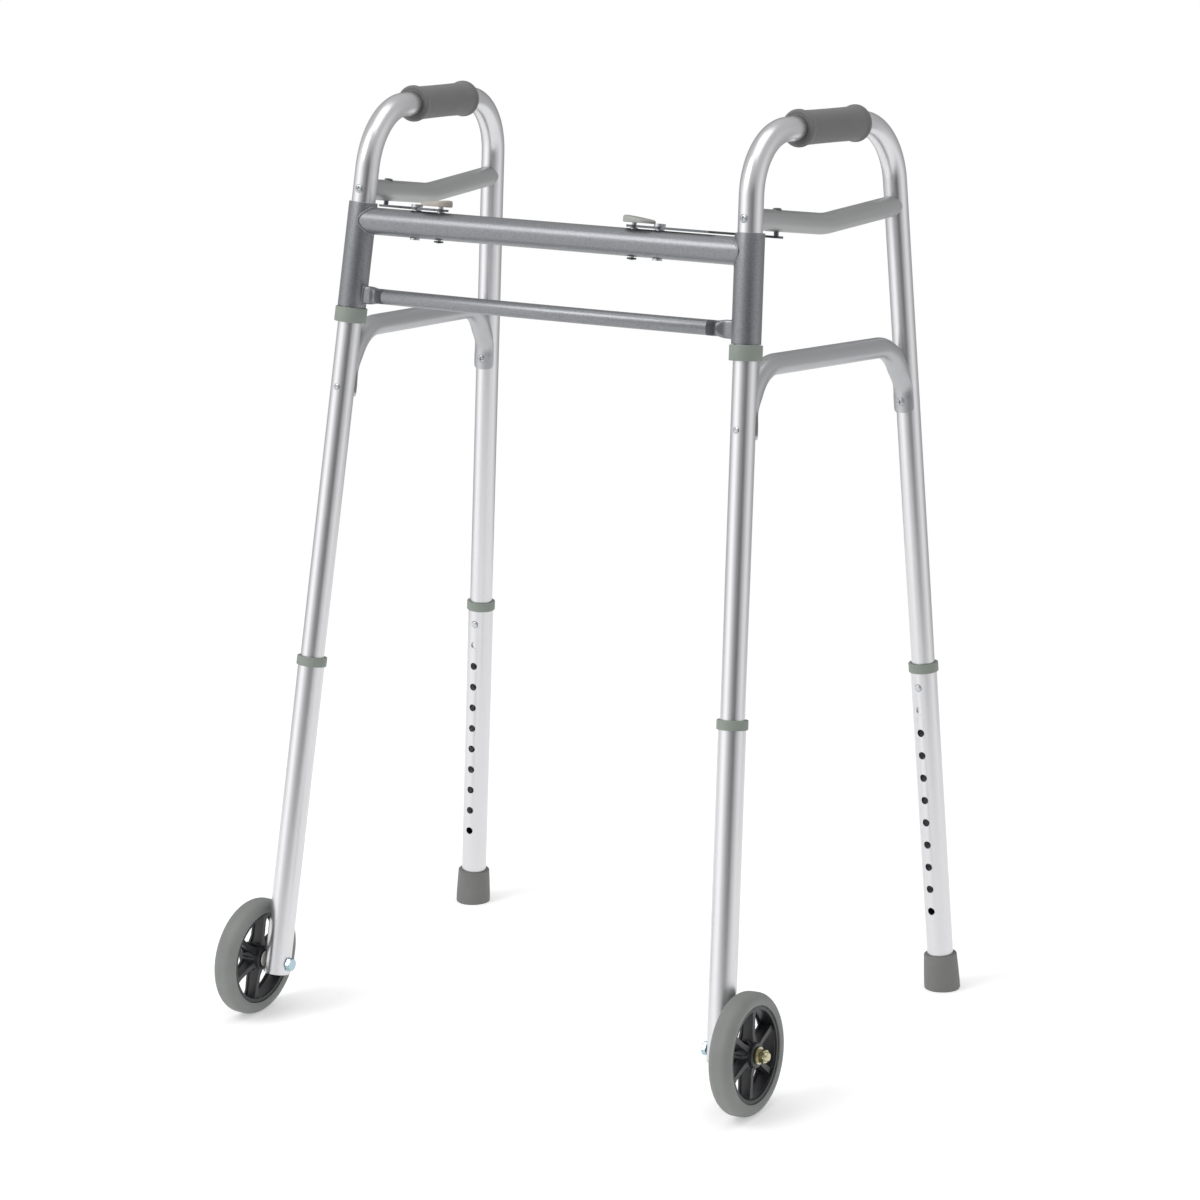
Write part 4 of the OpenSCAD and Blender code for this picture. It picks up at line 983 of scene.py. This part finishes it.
for name in SIDES:
    post, leg = side[name], rear[name]
    rivet_up, screw_up = np.array(brace_ends(name)) - [brace_rivet_past, brace_screw_past]
    rail_up = meet(name, np.array([rail_turn, rail_h]), sloping(rail_rise))[1]
    heads = [screw_head(facing_out(post, rail_h, -1), on_tube),
             screw_head(facing_out(leg, rail_up, 1), on_tube),
             screw_head(facing_out(leg, screw_up, -1), on_saddle),
             rivet(facing_out(post, rivet_up, -1), tube_r - gap, 1.2 * mm, 0.5 * mm),
             rivet(facing_out(post, rivet_up, 1), on_saddle), rivet(facing_out(leg, screw_up, 1), on_tube)]
    shanks = [capped(turned(facing_out(axes, height, 1), [(screw_r, low), (screw_r, high)], 24))
              for axes, height, low, high in (
                  (post, rail_h, -tube_r, tube_r + plug_l), (post, rivet_up, -tube_r, tube_r + saddle_t),
                  (leg, rail_up, -tube_r - plug_l, tube_r), (leg, screw_up, -tube_r - saddle_t, tube_r))]
    piece("screws_and_rivets_" + name, [*heads, *shanks], shade_darkened_zinc, "side_" + name, "fasteners_" + name,
          sharp=40)

# ---------------------------------------------------------------- release paddles
# A moulded oval thumb pad on each lock pin, highest at its inner end, with a soft edge and a slightly dished
# top. It is pressed on to the pin, and pushing it down frees the fold.
link_gap, link_t, press = 1.2 * mm, 2.4 * mm, 2 * mm
rivet_head_r = 6 * mm
paddle_l, paddle_w, paddle_t = 35 * mm, 24 * mm, 7.5 * mm
paddle_slope = math.tan(math.radians(7))
paddle_low = link_gap + link_t + press + gap
latch = {name: Axes(np.array(joints["link_turn_" + name]["pos_m"]) - front_up * link_gap,
                    front_across * SIDES[name], front.y, front_up) for name in SIDES}
# acetal: a waxy semi-gloss; one pad is grey and the other bone
pad_acetal = {"right": moulded("moulded_acetal_grey", "#9c9e99", 0.42, 0.5, 0.04),
              "left": moulded("moulded_acetal_bone", "#a7a198", 0.42, 0.5, 0.04)}

outer_x = -(rivet_head_r + 2 * gap)
inner_x, pad_x = outer_x - paddle_l, outer_x - paddle_l / 2
# each ring of the pad is the oval times a share, at a share of the pad's sloping height
shares, heights = np.array([(0, 0), (0.6, 0), (0.93, 0), (0.985, 0.06), (1, 0.2), (1, 0.62), (0.985, 0.82),
                            (0.95, 0.94), (0.89, 1), (0.8, 0.985), (0.5, 0.95), (0, 0.93)]).T[:, :, None]
t = turns(72)
oval_x = np.sign(np.cos(t)) * (paddle_l - paddle_w) / 2 + paddle_w / 2 * np.cos(t)
pad_across = pad_x + oval_x * shares
pad_back = paddle_w / 2 * np.sin(t) * shares
pad_up = paddle_low + heights * (paddle_t - (pad_across - inner_x) * paddle_slope)
for name in SIDES:
    piece("thumb_paddle_" + name, [latch[name].at(pad_across, pad_back, pad_up)], pad_acetal[name],
          "release_" + name, "release_paddle_" + name, sharp=60)

# ---------------------------------------------------------------- lock pins and studs
# The pin is turned steel with a shoulder that fills the link's hole. The stud stands down through the rail
# and into the link's curved slot, with a domed head on top of the rail.
latch_reach = 30 * mm
pin_r, shoulder_r, pin_seat, pin_grab, pin_chamfer = 2.5 * mm, 4.2 * mm, 9 * mm, 4 * mm, 0.5 * mm
pin_low = -2 * upper_r - 3.6 * mm
stud_out, stud_half, stud_head_r = 48.5 * mm, 2.5 * mm, 4.5 * mm
# dark zinc: the same plating with a black passivation, duller than the clear one
black_zinc = plated("dark_zinc_plated_steel", "#6b6e71", 0.36)

for name in SIDES:
    axes = latch[name].moved(-latch_reach, 0, 0)
    shoulder, top = link_gap - gap, paddle_low + pin_grab
    outline = [(0, pin_low), (pin_r - pin_chamfer, pin_low), (pin_r, pin_low + pin_chamfer),
               (pin_r, -pin_seat), (shoulder_r - pin_chamfer, -pin_seat),
               (shoulder_r, -pin_seat + pin_chamfer), (shoulder_r, shoulder - pin_chamfer),
               (shoulder_r - pin_chamfer, shoulder), (pin_r, shoulder), (pin_r, top), (0, top)]
    piece("turned_lock_pin_" + name, [turned(axes, outline, 48)], zinc, "release_" + name, "lock_pin_" + name)

    stud = side[name].moved(0, stud_out, 0)
    low = (link_gap + link_t - gap - (stud.at() - latch[name].origin) @ front_up) / (stud.z @ front_up)
    seat = rail_h + rail_r - 0.5 * mm
    crown = seat + 2.3 * mm
    outline = [(0, low), (stud_half - 0.3 * mm, low), (stud_half, low + 0.3 * mm), (stud_half, seat),
               (stud_head_r, seat), (stud_head_r, crown - 1.2 * mm),
               (stud_head_r - 0.8 * mm, crown - 0.3 * mm), (stud_head_r - 3 * mm, crown), (0, crown)]
    piece("rail_stud_" + name, [turned(stud, outline, 40)], black_zinc, "side_" + name, "link_stud_" + name)

# ---------------------------------------------------------------- parts that show as they are
# The stamped links, rivets, bushes, clips and springs keep their drawn shape and take their own finishes.
# natural acetal: off-white and waxy; blued spring steel: nearly black, with a metallic gloss
acetal = moulded("natural_acetal", "#dcdcd6", 0.4, 0.5, 0.03, 0.03)
spring_steel = plated("blued_spring_steel", "#4c5156", 0.3, 0.6)
as_drawn = {"bushes": acetal, "wheel_bush": acetal, "link_pivot": zinc, "lock_link": black_zinc,
            "pin_clip": spring_steel, "lock_spring": spring_steel, "snap_clips": spring_steel}
for kind, material in as_drawn.items():
    for name in SIDES:
        node = frame["nodes"][kind + "_" + name]
        node.data.materials.clear()
        node.data.materials.append(material)
